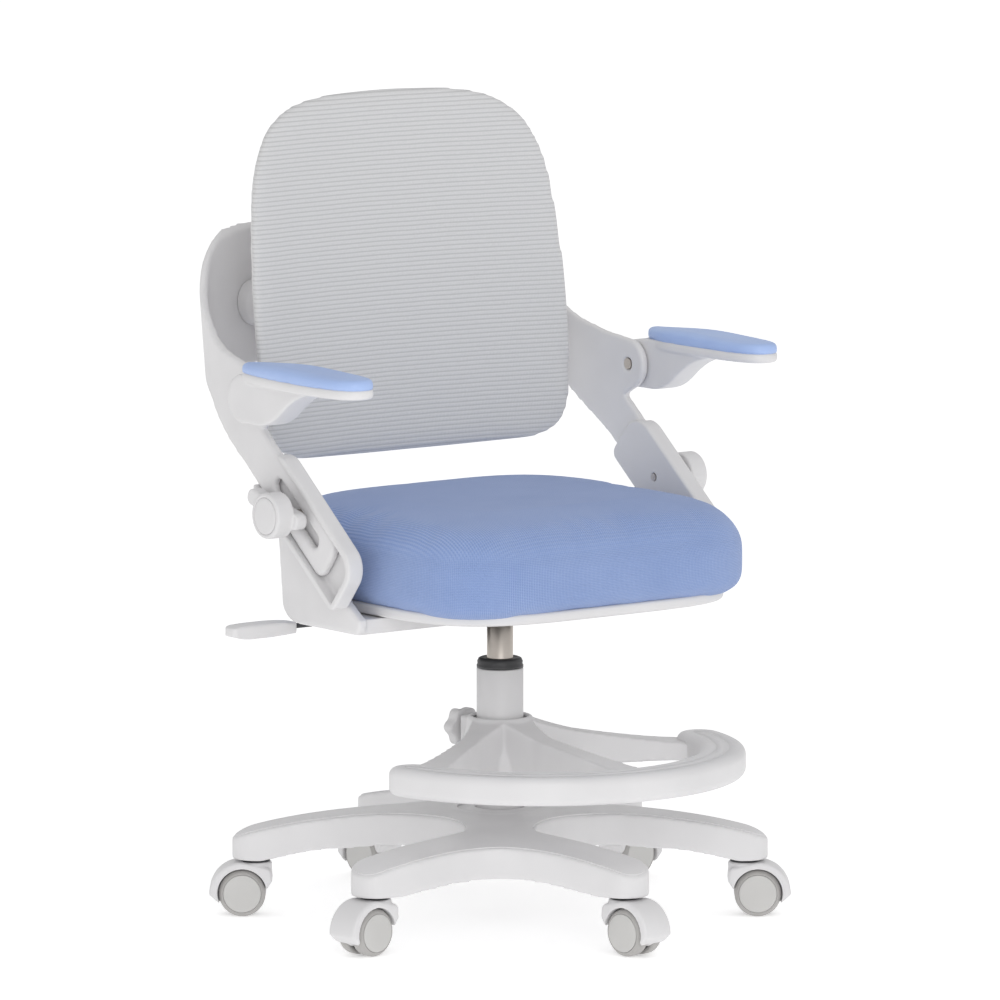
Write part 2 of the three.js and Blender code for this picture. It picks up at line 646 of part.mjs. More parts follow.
// A round hub on the yoke's rear wall with a slot for the back's lug.
function backHub(side) {
  const x = side * hubX;
  const wallFace = new THREE.CylinderGeometry(25, 25, 60, 20);
  let hub = solid(wallFace.translate(x, 252, backPivot[1]));
  hub = hub.intersect(solid(leaning(plateZ(yokePlan(yokeWall + gap), 560, 720))));
  hub = hub.subtract(solid(block([x - 8, 215, 600], [x + 8, 252, 700])));
  return hub.subtract(solid(rod('x', 4.4, x - 40, x + 40, backPivot, 16)));
}
for (const [name, side] of [['right', -1], ['left', 1]]) {
  add(`back_hub_${name}`, backHub(side), 'white');
  const x = side * hubX;
  add(`back_pin_${name}`, rod('x', 4, x - 18, x + 18, backPivot, 14), 'steel');
}

// ---- armrests -----------------------------------------------------------
const armOuterX = plateInnerX + yokeWall + 0.4;
function armBody() {
  const side = new THREE.Shape();
  side.moveTo(armPivot[0], armPivot[1] - armHubRadius);
  side.absarc(...armPivot, armHubRadius, -Math.PI / 2, Math.PI / 2, false);
  side.lineTo(20, 594);
  side.lineTo(-10, 594);
  side.lineTo(-28, 581);
  side.quadraticCurveTo(-4, 579, 18, 556);
  side.quadraticCurveTo(34, 540, 58, 541);
  let arm = solid(plateX(side, -armOuterX - 30, -armOuterX, 2, 6));
  const top = new THREE.Shape();
  top.moveTo(-armOuterX - 3, 84);
  top.lineTo(-armOuterX - 34, 84);
  top.quadraticCurveTo(-294, 20, -295, -56);
  top.quadraticCurveTo(-296, -123, -267, -124);
  top.quadraticCurveTo(-240, -123, -240, -56);
  top.lineTo(-242, 20);
  top.quadraticCurveTo(-243, 42, -armOuterX - 3, 52);
  arm = arm.add(solid(plateZ(top, 585, 596, 3, 6)));
  return arm.subtract(solid(rod('x', 6.4, -armOuterX - 20, -200, armPivot, 16)));
}

function armPad() {
  const top = new THREE.Shape();
  top.moveTo(-255, 70);
  top.lineTo(-264, 83);
  top.lineTo(-276, 83);
  top.quadraticCurveTo(-292, 20, -293, -56);
  top.quadraticCurveTo(-294, -121, -267, -122);
  top.quadraticCurveTo(-242, -121, -242, -56);
  top.lineTo(-244, 20);
  return solid(plateZ(top, 596.3, 606.5, 4, 6));
}
add('arm_right', armBody(), 'white');
add('arm_left', mirrored(armBody()), 'white');
add('arm_pad_right', armPad(), 'blue');
add('arm_pad_left', mirrored(armPad()), 'blue');
add('arm_pin_right', rod('x', 6, -armOuterX - 19, -plateInnerX - 0.4, armPivot, 16), 'steel');
add('arm_pin_left', rod('x', 6, plateInnerX + 0.4, armOuterX + 19, armPivot, 16), 'steel');

export default chair;
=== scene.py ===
import json
import math
import bpy
import bmesh
from mathutils import Matrix, Vector, geometry


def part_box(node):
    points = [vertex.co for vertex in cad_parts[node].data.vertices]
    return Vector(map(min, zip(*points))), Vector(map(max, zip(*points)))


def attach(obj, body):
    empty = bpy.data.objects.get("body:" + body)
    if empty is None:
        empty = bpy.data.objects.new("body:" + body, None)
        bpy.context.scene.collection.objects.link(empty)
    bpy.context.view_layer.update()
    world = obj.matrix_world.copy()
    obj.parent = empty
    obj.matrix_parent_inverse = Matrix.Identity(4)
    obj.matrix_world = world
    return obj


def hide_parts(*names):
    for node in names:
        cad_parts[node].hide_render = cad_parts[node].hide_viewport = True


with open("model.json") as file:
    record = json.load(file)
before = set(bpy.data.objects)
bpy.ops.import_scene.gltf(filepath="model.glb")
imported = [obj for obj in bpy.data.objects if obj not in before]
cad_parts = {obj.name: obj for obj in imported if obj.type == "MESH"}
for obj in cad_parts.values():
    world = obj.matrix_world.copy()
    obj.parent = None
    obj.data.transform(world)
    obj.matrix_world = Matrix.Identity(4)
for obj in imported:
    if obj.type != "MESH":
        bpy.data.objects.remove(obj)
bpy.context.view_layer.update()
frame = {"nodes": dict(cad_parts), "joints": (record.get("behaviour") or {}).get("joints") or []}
scene = bpy.context.scene
joints = {j["name"]: j for j in frame["joints"]}


# pieces are drawn in millimetres and stored in metres
def pivot(name):
    return Vector(joints[name]["pos_m"]) * 1000


def cadBox(node):
    low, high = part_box(node)
    return low * 1000, high * 1000


def say(stage):
    print("chair:", stage)


def makeObject(name, bm, smooth=True):
    bmesh.ops.scale(bm, vec=(0.001, 0.001, 0.001), verts=bm.verts)
    mesh = bpy.data.meshes.new(name)
    bm.to_mesh(mesh)
    bm.free()
    obj = bpy.data.objects.new(name, mesh)
    scene.collection.objects.link(obj)
    mesh.polygons.foreach_set("use_smooth", [smooth] * len(mesh.polygons))
    return obj


def settle(obj):
    # modifiers become the mesh
    bpy.context.view_layer.update()
    graph = bpy.context.evaluated_depsgraph_get()
    mesh = bpy.data.meshes.new_from_object(obj.evaluated_get(graph))
    obj.modifiers.clear()
    obj.data = mesh
    return obj


def cutBy(obj, tool, how="DIFFERENCE"):
    mod = obj.modifiers.new(how, "BOOLEAN")
    mod.operation = how
    mod.solver = "EXACT"
    mod.object = tool
    settle(obj)
    bpy.data.objects.remove(tool)
    return obj


def moulded(obj, voxel, passes, factor=0.5):
    # one skin over the joined shapes, its corners softened as a moulding's are
    mod = obj.modifiers.new("skin", "REMESH")
    mod.mode = "VOXEL"
    mod.voxel_size = voxel / 1000
    mod.use_smooth_shade = True
    if passes:
        soft = obj.modifiers.new("soften", "SMOOTH")
        soft.factor = factor
        soft.iterations = passes
    settle(obj)
    obj.data.polygons.foreach_set("use_smooth", [True] * len(obj.data.polygons))
    return obj


def prismBm(outline, low, high):
    bm = bmesh.new()
    face = bm.faces.new([bm.verts.new((x, y, low)) for x, y in outline])
    grown = bmesh.ops.extrude_face_region(bm, geom=[face])["geom"]
    bmesh.ops.translate(bm, vec=(0, 0, high - low), verts=[v for v in grown if isinstance(v, bmesh.types.BMVert)])
    bmesh.ops.recalc_face_normals(bm, faces=bm.faces)
    return bm


def roundEdges(bm, offset, segments, steeper=50):
    edges = [e for e in bm.edges if e.is_manifold and math.degrees(e.calc_face_angle(0)) > steeper]
    bmesh.ops.bevel(bm, geom=edges, offset=offset, offset_type="OFFSET", segments=segments, profile=0.5,
                    affect="EDGES", clamp_overlap=True, material=-1)


alongX = Matrix(((0, 0, 1, 0), (1, 0, 0, 0), (0, 1, 0, 0), (0, 0, 0, 1)))   # outline (y, z), thickness x
standUp = Matrix(((1, 0, 0, 0), (0, 0, 1, 0), (0, 1, 0, 0), (0, 0, 0, 1)))   # outline (x, height), thickness along depth
across = Matrix(((1, 0, 0, 0), (0, 0, -1, 0), (0, 1, 0, 0), (0, 0, 0, 1)))   # outline (x, z), thickness -y


def prism(name, outline, low, high, turn=None, edge=0, segments=3, steeper=50):
    bm = prismBm(outline, low, high)
    if edge:
        roundEdges(bm, edge, segments, steeper)
    if turn is not None:
        bmesh.ops.transform(bm, matrix=turn, verts=bm.verts)
    return makeObject(name, bm)


def turnedBm(profile, steps=64):
    # a profile of (radius, height) spun once round Z
    bm = bmesh.new()
    points = [bm.verts.new((r, 0, z)) for r, z in profile]
    edges = [bm.edges.new((a, b)) for a, b in zip(points, points[1:])]
    if profile[0][0] > 0 or profile[-1][0] > 0:
        edges.append(bm.edges.new((points[-1], points[0])))
    bmesh.ops.spin(bm, geom=points + edges, cent=(0, 0, 0), axis=(0, 0, 1), angle=math.tau, steps=steps, use_merge=True)
    bmesh.ops.remove_doubles(bm, verts=bm.verts, dist=0.001)
    bmesh.ops.recalc_face_normals(bm, faces=bm.faces)
    return bm


def turned(name, profile, turn=None, steps=64, edge=0):
    bm = turnedBm(profile, steps)
    if edge:
        roundEdges(bm, edge, 2, 40)
    if turn is not None:
        bmesh.ops.transform(bm, matrix=turn, verts=bm.verts)
    return makeObject(name, bm)


def curvePoints(start, *segments, count=10):
    # straight and bezier runs, one after another: ("line", p) or (handleA, handleB, p)
    points = [Vector(start)]
    for run in segments:
        if run[0] == "line":
            points.append(Vector(run[1]))
        else:
            a, b, end = (Vector(p) for p in run)
            made = geometry.interpolate_bezier(points[-1], a, b, end, count + 1)
            points += made[1:]
    return [(p[0], p[1]) for p in points]


def quad(start, middle, end, count=8):
    a, m, b = Vector(start), Vector(middle), Vector(end)
    return [tuple((a * (1 - t) ** 2 + 2 * m * t * (1 - t) + b * t * t)) for t in (i / count for i in range(1, count + 1))]


def arc(cx, cy, radius, start, end, count=12):
    steps = [math.radians(start + (end - start) * i / count) for i in range(count + 1)]
    return [(cx + radius * math.cos(a), cy + radius * math.sin(a)) for a in steps]


def roundedBox(x0, y0, x1, y1, corner, count=6):
    a, b, c, d = corner if isinstance(corner, (list, tuple)) else [corner] * 4
    return (arc(x1 - b, y0 + b, b, -90, 0, count) + arc(x1 - c, y1 - c, c, 0, 90, count)
            + arc(x0 + d, y1 - d, d, 90, 180, count) + arc(x0 + a, y0 + a, a, 180, 270, count))


def mirrorCopy(obj, name):
    bm = bmesh.new()
    bm.from_mesh(obj.data)
    bmesh.ops.scale(bm, vec=(-1, 1, 1), verts=bm.verts)
    bmesh.ops.reverse_faces(bm, faces=bm.faces)
    mesh = bpy.data.meshes.new(name)
    bm.to_mesh(mesh)
    bm.free()
    twin = bpy.data.objects.new(name, mesh)
    scene.collection.objects.link(twin)
    return twin


def facesOut(obj):
    # an outline stood on its edge is turned over, so its faces are set outwards again
    bm = bmesh.new()
    bm.from_mesh(obj.data)
    bmesh.ops.recalc_face_normals(bm, faces=bm.faces)
    bm.to_mesh(obj.data)
    bm.free()


def sliceAcross(obj):
    # strips 22 mm wide, so that the flat piece can bend
    bm = bmesh.new()
    bm.from_mesh(obj.data)
    for step in range(-10, 11):
        whole = bm.verts[:] + bm.edges[:] + bm.faces[:]
        bmesh.ops.bisect_plane(bm, geom=whole, plane_co=(step * 0.022, 0, 0), plane_no=(1, 0, 0))
    bm.to_mesh(obj.data)
    bm.free()


def place(obj, body, slotName, material, *nodes):
    obj.data.materials.clear()
    obj.data.materials.append(material)
    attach(obj, body)
    if nodes:
        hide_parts(*nodes)
    return obj


def linear(hexColour):
    parts = [int(hexColour[i:i + 2], 16) / 255 for i in (1, 3, 5)]
    return tuple(c / 12.92 if c < 0.04045 else ((c + 0.055) / 1.055) ** 2.4 for c in parts) + (1,)


def addNode(tree, kind, settings, inputs, output=0):
    # an input is a number, a hex colour or another node's output
    node = tree.nodes.new(kind)
    for key, value in settings.items():
        setattr(node, key, value)
    for socket, value in inputs.items():
        if isinstance(value, bpy.types.NodeSocket):
            tree.links.new(value, node.inputs[socket])
        else:
            node.inputs[socket].default_value = linear(value) if isinstance(value, str) else value
    return node.outputs[output]


def newMaterial(name, colour, roughness, **shader):
    mat = bpy.data.materials.new(name)
    mat.use_nodes = True
    tree = mat.node_tree
    bsdf = tree.nodes["Principled BSDF"]
    bsdf.inputs["Base Color"].default_value = linear(colour)
    bsdf.inputs["Roughness"].default_value = roughness
    for socket, value in shader.items():
        bsdf.inputs[socket.replace("_", " ")].default_value = value
    spot = addNode(tree, "ShaderNodeTexCoord", {}, {}, "Object")
    mm = addNode(tree, "ShaderNodeVectorMath", {"operation": "SCALE"}, {0: spot, "Scale": 1000.0})
    return mat, tree, bsdf, mm


def mouldedPlastic(name, pale, deep, roughness, grain, depth, **shader):
    # spark-eroded mould skin: fine grain in the gloss
    mat, tree, bsdf, mm = newMaterial(name, pale, roughness, **shader)
    fine = addNode(tree, "ShaderNodeTexNoise", {}, {"Vector": mm, "Scale": 1 / grain, "Detail": 2.0})
    wide = addNode(tree, "ShaderNodeTexNoise", {}, {"Vector": mm, "Scale": 1 / 60, "Detail": 2.0})
    cloud = addNode(tree, "ShaderNodeMapRange", {}, {0: wide, 1: 0.35, 2: 0.65, 3: 0, 4: 1})
    tone = addNode(tree, "ShaderNodeMix", {"data_type": "RGBA"}, {0: cloud, 6: pale, 7: deep}, 2)
    gloss = addNode(tree, "ShaderNodeMapRange", {}, {0: fine, 1: 0.3, 2: 0.7, 3: roughness - 0.05, 4: roughness + 0.07})
    bump = addNode(tree, "ShaderNodeBump", {}, {"Strength": 0.25, "Distance": depth / 1000, "Height": fine})
    tree.links.new(tone, bsdf.inputs["Base Color"])
    tree.links.new(gloss, bsdf.inputs["Roughness"])
    tree.links.new(bump, bsdf.inputs["Normal"])
    return mat


# polypropylene, injection moulded: off-white, satin, very fine grain
polypropyleneMoulded = mouldedPlastic("polypropyleneMoulded", "#dad9da", "#d6d5d6", 0.42, 1.1, 0.05, IOR=1.49)
# polyurethane tyre and cap, moulded: warmer grey, soft gloss
polyurethaneMoulded = mouldedPlastic("polyurethaneMoulded", "#aeacaa", "#a8a6a4", 0.38, 0.9, 0.03, IOR=1.5)
# polyamide face disc, moulded: pale grey, satin
polyamideMoulded = mouldedPlastic("polyamideMoulded", "#c6c5c3", "#c1c0be", 0.4, 1.0, 0.03, IOR=1.53)
# nylon, moulded: near black, dry sheen
nylonMoulded = mouldedPlastic("nylonMoulded", "#3c3c3e", "#343436", 0.45, 0.8, 0.05, IOR=1.53)
# powder coat on pressed steel: black with orange peel
steelPowderCoated = mouldedPlastic("steelPowderCoated", "#3e3e41", "#37373a", 0.42, 1.6, 0.09, IOR=1.5)


def groundSteel():
    # hard chrome over ground steel: faint rings round the bar
    mat, tree, bsdf, mm = newMaterial("steelGroundChromed", "#cfc8bf", 0.34, Metallic=1.0)
    stretched = addNode(tree, "ShaderNodeMapping", {}, {"Vector": mm, "Scale": (0.05, 0.05, 3.0)})
    rings = addNode(tree, "ShaderNodeTexNoise", {}, {"Vector": stretched, "Scale": 1.0, "Detail": 3.0})
    gloss = addNode(tree, "ShaderNodeMapRange", {}, {0: rings, 1: 0.3, 2: 0.7, 3: 0.3, 4: 0.38})
    tone = addNode(tree, "ShaderNodeMix", {"data_type": "RGBA"}, {0: rings, 6: "#ccc4bb", 7: "#d6cfc7"}, 2)
    tree.links.new(gloss, bsdf.inputs["Roughness"])
    tree.links.new(tone, bsdf.inputs["Base Color"])
    return mat


steelGroundChromed = groundSteel()


def birchPly():
    # birch plywood, sanded: long pale grain
    mat, tree, bsdf, mm = newMaterial("birchPlywood", "#b99a6c", 0.7)
    stretched = addNode(tree, "ShaderNodeMapping", {}, {"Vector": mm, "Scale": (0.3, 0.012, 0.3)})
    grain = addNode(tree, "ShaderNodeTexNoise", {}, {"Vector": stretched, "Scale": 1.0, "Detail": 4.0})
    tone = addNode(tree, "ShaderNodeMix", {"data_type": "RGBA"}, {0: grain, 6: "#a98757", 7: "#cbb084"}, 2)
    tree.links.new(tone, bsdf.inputs["Base Color"])
    return mat


birchPlywood = birchPly()


def ribbedKnit(knit):
    # polyester spacer knit: level ribs, small stitches along each, soft sheen; the rib grooves are painted darker as
    # painted shade
    mat, tree, bsdf, mm = newMaterial("polyesterSpacerKnit", knit["pale"], 0.86, Sheen_Weight=0.18, Sheen_Roughness=0.5)
    x = addNode(tree, "ShaderNodeSeparateXYZ", {}, {0: mm}, 0)
    z = addNode(tree, "ShaderNodeSeparateXYZ", {}, {0: mm}, 2)
    wander = addNode(tree, "ShaderNodeTexNoise", {}, {"Vector": mm, "Scale": 1 / 45, "Detail": 2.0})
    level = addNode(tree, "ShaderNodeMath", {"operation": "MULTIPLY_ADD"}, {0: wander, 1: knit["wander"], 2: z})
    ribTurns = addNode(tree, "ShaderNodeMath", {"operation": "MULTIPLY"}, {0: level, 1: math.tau / knit["ribPitch"]})
    ribs = addNode(tree, "ShaderNodeMath", {"operation": "SINE"}, {0: ribTurns})
    stitchTurns = addNode(tree, "ShaderNodeMath", {"operation": "MULTIPLY"}, {0: x, 1: math.tau / knit["stitchPitch"]})
    stitch = addNode(tree, "ShaderNodeMath", {"operation": "SINE"}, {0: stitchTurns})
    fine = addNode(tree, "ShaderNodeTexNoise", {}, {"Vector": mm, "Scale": 0.9, "Detail": 3.0})
    # painted shade: the rib hollows are mixed towards the darker groove colour
    groove = addNode(tree, "ShaderNodeMapRange", {}, {0: ribs, 1: -1.0, 2: -0.25, 3: 0.65, 4: 0})
    fuzz = addNode(tree, "ShaderNodeMapRange", {}, {0: fine, 1: 0.3, 2: 0.7, 3: 0, 4: 1})
    tone = addNode(tree, "ShaderNodeMix", {"data_type": "RGBA"}, {0: fuzz, 6: knit["pale"], 7: knit["mid"]}, 2)
    tone = addNode(tree, "ShaderNodeMix", {"data_type": "RGBA"}, {0: groove, 6: tone, 7: knit["groove"]}, 2)
    height = addNode(tree, "ShaderNodeMath", {"operation": "MULTIPLY"}, {0: ribs, 1: 0.5})
    height = addNode(tree, "ShaderNodeMath", {"operation": "MULTIPLY_ADD"}, {0: stitch, 1: 0.14, 2: height})
    height = addNode(tree, "ShaderNodeMath", {"operation": "MULTIPLY_ADD"}, {0: fine, 1: 0.35, 2: height})
    bump = addNode(tree, "ShaderNodeBump", {}, {"Strength": 0.5, "Distance": 0.0005, "Height": height})
    tree.links.new(tone, bsdf.inputs["Base Color"])
    tree.links.new(bump, bsdf.inputs["Normal"])
    return mat


# stitches are drawn coarser than the real 1 mm, so that they show
# groove is the painted shade colour of the rib grooves
knit = {"pale": "#d3d3d4", "mid": "#cacacb", "groove": "#aeaeaf", "ribPitch": 4.8, "stitchPitch": 1.8, "wander": 1.0}
polyesterSpacerKnit = ribbedKnit(knit)


def wovenSeat(weave):
    # polyester weave: fine ribs along the top panel, small staggered knots round the sides; its hollows are painted
    # darker as painted shade
    mat, tree, bsdf, mm = newMaterial("polyesterWoven", weave["pale"], 0.82, Sheen_Weight=0.22, Sheen_Roughness=0.45)
    x, y, z = (addNode(tree, "ShaderNodeSeparateXYZ", {}, {0: mm}, i) for i in range(3))
    edge = weave["edge"]
    top = addNode(tree, "ShaderNodeMapRange", {}, {0: z, 1: edge - 9, 2: edge + 9, 3: 0, 4: 1})
    angle = addNode(tree, "ShaderNodeMath", {"operation": "ARCTAN2"}, {0: y, 1: x})
    around = addNode(tree, "ShaderNodeMath", {"operation": "MULTIPLY"}, {0: angle, 1: weave["reach"]})
    upward = addNode(tree, "ShaderNodeMath", {"operation": "ADD"}, {0: z, 1: around})
    downward = addNode(tree, "ShaderNodeMath", {"operation": "SUBTRACT"}, {0: z, 1: around})
    waves = []
    for way, pitch in ((upward, "knotPitch"), (downward, "knotPitch"), (x, "ribPitch"), (y, "threadPitch")):
        turns = addNode(tree, "ShaderNodeMath", {"operation": "MULTIPLY"}, {0: way, 1: math.tau / weave[pitch]})
        waves.append(addNode(tree, "ShaderNodeMath", {"operation": "SINE"}, {0: turns}))
    knots = addNode(tree, "ShaderNodeMath", {"operation": "MULTIPLY"}, {0: waves[0], 1: waves[1]})
    ribs = addNode(tree, "ShaderNodeMath", {"operation": "MULTIPLY"}, {0: waves[2], 1: 0.7})
    panel = addNode(tree, "ShaderNodeMath", {"operation": "MULTIPLY_ADD"}, {0: waves[3], 1: 0.3, 2: ribs})
    pattern = addNode(tree, "ShaderNodeMix", {"data_type": "FLOAT"}, {0: top, 2: knots, 3: panel})
    fine = addNode(tree, "ShaderNodeTexNoise", {}, {"Vector": mm, "Scale": 0.8, "Detail": 3.0})
    wide = addNode(tree, "ShaderNodeTexNoise", {}, {"Vector": mm, "Scale": 1 / 70, "Detail": 2.0})
    cloud = addNode(tree, "ShaderNodeMapRange", {}, {0: wide, 1: 0.35, 2: 0.65, 3: 0, 4: 1})
    # painted shade: where the pattern is low, the colour is mixed towards the deep blue
    hollow = addNode(tree, "ShaderNodeMapRange", {}, {0: pattern, 1: -1.0, 2: 0.5, 3: 0.75, 4: 0})
    fuzz = addNode(tree, "ShaderNodeMapRange", {}, {0: fine, 1: 0.3, 2: 0.7, 3: 0, 4: 0.25})
    tone = addNode(tree, "ShaderNodeMix", {"data_type": "RGBA"}, {0: cloud, 6: weave["pale"], 7: weave["mid"]}, 2)
    tone = addNode(tree, "ShaderNodeMix", {"data_type": "RGBA"}, {0: hollow, 6: tone, 7: weave["deep"]}, 2)
    tone = addNode(tree, "ShaderNodeMix", {"data_type": "RGBA"}, {0: fuzz, 6: tone, 7: weave["deep"]}, 2)
    height = addNode(tree, "ShaderNodeMath", {"operation": "MULTIPLY_ADD"}, {0: fine, 1: 0.5, 2: pattern})
    bump = addNode(tree, "ShaderNodeBump", {}, {"Strength": 0.6, "Distance": 0.0006, "Height": height})
    tree.links.new(tone, bsdf.inputs["Base Color"])
    tree.links.new(bump, bsdf.inputs["Normal"])
    return mat


# threads are drawn coarser than the real 1 mm, so that they show
# deep is the painted shade in the weave's hollows and also the colour of random darker flecks
weave = {"pale": "#9aaed7", "mid": "#92a7d2", "deep": "#6f89c3", "edge": 421.0, "reach": 212.0,
         "knotPitch": 3.4, "ribPitch": 2.6, "threadPitch": 3.0}
polyesterWoven = wovenSeat(weave)
# self-skinned polyurethane foam: blue, leathery grain
polyurethaneSkin = mouldedPlastic("polyurethaneSkin", "#a6bde8", "#a0b7e4", 0.42, 1.4, 0.06, IOR=1.5)
say("materials ready")

# camera, floor and light
look = {"azimuth": -37.0, "distance": 9.5, "height": 1.736, "pitch": 7.73, "lens": 324.97}
turnAngle = math.radians(look["azimuth"])
camera = bpy.data.objects.new("camera", bpy.data.cameras.new("camera"))
scene.collection.objects.link(camera)
camera.location = (look["distance"] * math.sin(turnAngle), -look["distance"] * math.cos(turnAngle), look["height"])
camera.rotation_euler = (math.radians(90 - look["pitch"]), 0, turnAngle)
camera.data.lens = look["lens"]
camera.data.sensor_width = 36
camera.data.clip_end = 60
scene.camera = camera

studio = {"floorSize": 30.0, "world": 0.72, "floorGlow": 0.38, "key": 5.0, "fill": 33.0}
floorBm = bmesh.new()
bmesh.ops.create_grid(floorBm, x_segments=1, y_segments=1, size=studio["floorSize"] * 500)
floor = makeObject("studioFloor", floorBm)
floorMat, floorTree, floorBsdf, floorSpot = newMaterial("paperSweep", "#fbfbfb", 0.9)
floorBsdf.inputs["Emission Color"].default_value = (1, 1, 1, 1)
floorBsdf.inputs["Emission Strength"].default_value = studio["floorGlow"]
floor.data.materials.append(floorMat)

world = bpy.data.worlds.new("studio")
scene.world = world
world.use_nodes = True
world.node_tree.nodes["Background"].inputs[0].default_value = (1, 1, 1, 1)
world.node_tree.nodes["Background"].inputs[1].default_value = studio["world"]
scene.view_settings.view_transform = "Standard"


def softbox(name, place, aim, size, power):
    lamp = bpy.data.objects.new(name, bpy.data.lights.new(name, "AREA"))
    lamp.data.shape = "RECTANGLE"
    lamp.data.size, lamp.data.size_y = size
    lamp.data.energy = power
    lamp.location = place
    lamp.rotation_euler = (Vector(aim) - Vector(place)).to_track_quat("-Z", "Y").to_euler()
    scene.collection.objects.link(lamp)


softbox("keySoftbox", (0.4, -1.4, 3.2), (0, 0, 0.4), (2.4, 2.4), studio["key"])
softbox("fillSoftbox", (-2.0, -3.4, 1.6), (0, 0, 0.5), (2.6, 2.2), studio["fill"])
say("camera and light ready")


# castor base
base = {"legHalf": 25, "trunkHalf": 38, "turn": -37, "bottom": 61, "wall": 5, "panelIn": 3.6, "panelRise": 0.9,
        "voxel": 2.3, "soften": 5}
stemCircle = Vector(pivot("castor_1_swivel")[:2]).length
stemAngles = [math.degrees(math.atan2(pivot(f"castor_{i}_swivel").y, pivot(f"castor_{i}_swivel").x)) for i in range(1, 7)]
hubTop = cadBox("star_base")[1].z
tubeRadius = cadBox("column_tube")[1].x


def basePlan(inset):
    half = base["legHalf"] - inset
    fork = (stemCircle * 0.5, stemCircle * math.cos(math.radians(30)))
    quarter = arc(stemCircle, 0, half, 0, 90, 8)
    quarter += curvePoints((157, half + 2), ((92, 30 - inset), (37 - inset, 52), (base["trunkHalf"] - inset, 127)), count=14)
    quarter += quad((base["trunkHalf"] - inset, 127), (40 - inset, 140), (60, 151 + inset * 0.9), 6)
    quarter += arc(*fork, half, -60, 120, 12)
    quarter += curvePoints((118 - inset / 2, 248 - inset), ((80, 228 - inset), (40, 201 - inset), (0, 200 - inset)), count=12)[1:]
    left = [(-x, y) for x, y in reversed(quarter[:-1])]
    upper = quarter + left
    return upper + [(-x, -y) for x, y in upper if not (abs(y) < 1e-6 and x < 0)][1:]


def spreadProfile(points, count=6):
    # a smooth run through (radius, height) points
    line = []
    for i in range(len(points) - 1):
        p0, p1, p2, p3 = (Vector(points[max(0, min(len(points) - 1, k))]) for k in (i - 1, i, i + 1, i + 2))
        for step in range(count):
            t = step / count
            line.append(tuple(0.5 * ((2 * p1) + (p2 - p0) * t + (2 * p0 - 5 * p1 + 4 * p2 - p3) * t * t
                                     + (3 * p1 - p0 - 3 * p2 + p3) * t ** 3)))
    return line + [tuple(points[-1])]


def starBase():
    turn = Matrix.Rotation(math.radians(base["turn"]), 4, "Z")
    top = spreadProfile([(286, 84), (262, 93.5), (214, 103.6), (157, 111), (108, 114), (48, 115)])
    under = spreadProfile([(46, 58), (60, 66), (106, 80), (157, 76), (200, 72.6), (242, 64), (256, base["bottom"])])
    body = prism("starBase", basePlan(0), 40, 140, turn)
    arch = turned("arch", [(0, 58)] + under + [(292, base["bottom"]), (292, 80)] + top
                  + [(34, hubTop - 3), (31, hubTop - 2), (29, hubTop), (0, hubTop)], steps=96)
    cutBy(body, arch, "INTERSECT")
    hollow = prism("hollow", basePlan(base["wall"]), 20, 130, turn)
    roof = [(r, z - 6) for r, z in top if r < 232]
    cutBy(hollow, turned("roof", [(62, 20), (232, 20)] + roof + [(62, 106)], steps=96), "INTERSECT")
    cutBy(body, hollow)
    cutBy(body, turned("bore", [(0, 0), (tubeRadius + 0.3, 0), (tubeRadius + 0.3, 200), (0, 200)]))
    return moulded(body, base["voxel"], base["soften"])


def basePanel():
    # the raised top panel, one step in from the edge of each leg
    turn = Matrix.Rotation(math.radians(base["turn"]), 4, "Z")
    panel = prism("starBasePanel", basePlan(base["panelIn"]), 60, 140, turn)
    legTop = spreadProfile([(284, 85), (262, 93.5), (214, 103.6), (157, 111), (108, 114), (48, 115)])
    top = [(r, z + base["panelRise"]) for r, z in legTop]
    lower = [(r, z - 3) for r, z in reversed(top)]
    cutBy(panel, turned("slice", [(46, 111)] + lower + [(292, 78), (292, 82)] + top + [(46, 117)], steps=96), "INTERSECT")
    panel.data.polygons.foreach_set("use_smooth", [True] * len(panel.data.polygons))
    panel.data.set_sharp_from_angle(angle=math.radians(32))
    return panel


starPiece = starBase()
place(starPiece, "base", "white_plastic", polypropyleneMoulded, "star_base")
place(basePanel(), "base", "white_plastic", polypropyleneMoulded)
say("base")

# castors, drawn once about their stem
castor = {"radius": 25.0, "width": 14.5, "inner": 4.2, "trail": 14.0, "top": 58.0, "voxel": 1.25}


def castorHood():
    trail, top = castor["trail"], castor["top"]
    cover = arc(trail + 1, 24, 34.5, 0, 100, 22)
    cover += [(-14, top - 5.5), (-17, top - 9), (-18, 38), (-12, 29), (trail - 20, 27), (trail - 20, 12), (trail + 20, 12),
              (trail + 28, 17)]
    side = prism("hood", cover, -19.2, 19.2, Matrix.Rotation(math.radians(90), 4, "X"), edge=3, steeper=70)
    neck = turned("neck", [(0, 34), (17.5, 34), (17.5, top - 1.2), (16.3, top), (0, top)], steps=48)
    cutBy(side, neck, "UNION")
    for way in (-1, 1):
        ends = (3.2, 30) if way > 0 else (-30, -3.2)
        well = prism("well", arc(0, 0, castor["radius"] + 1.4, 0, 354, 59), *ends,
                     Matrix.Translation((trail, 0, castor["radius"])) @ Matrix.Rotation(math.radians(90), 4, "X"))
        cutBy(side, well)
    hub = prism("hub", arc(0, 0, 7, 0, 345, 23), -4.4, 4.4,
                Matrix.Translation((trail, 0, castor["radius"])) @ Matrix.Rotation(math.radians(90), 4, "X"))
    cutBy(side, hub, "UNION")
    return moulded(side, castor["voxel"], 2)


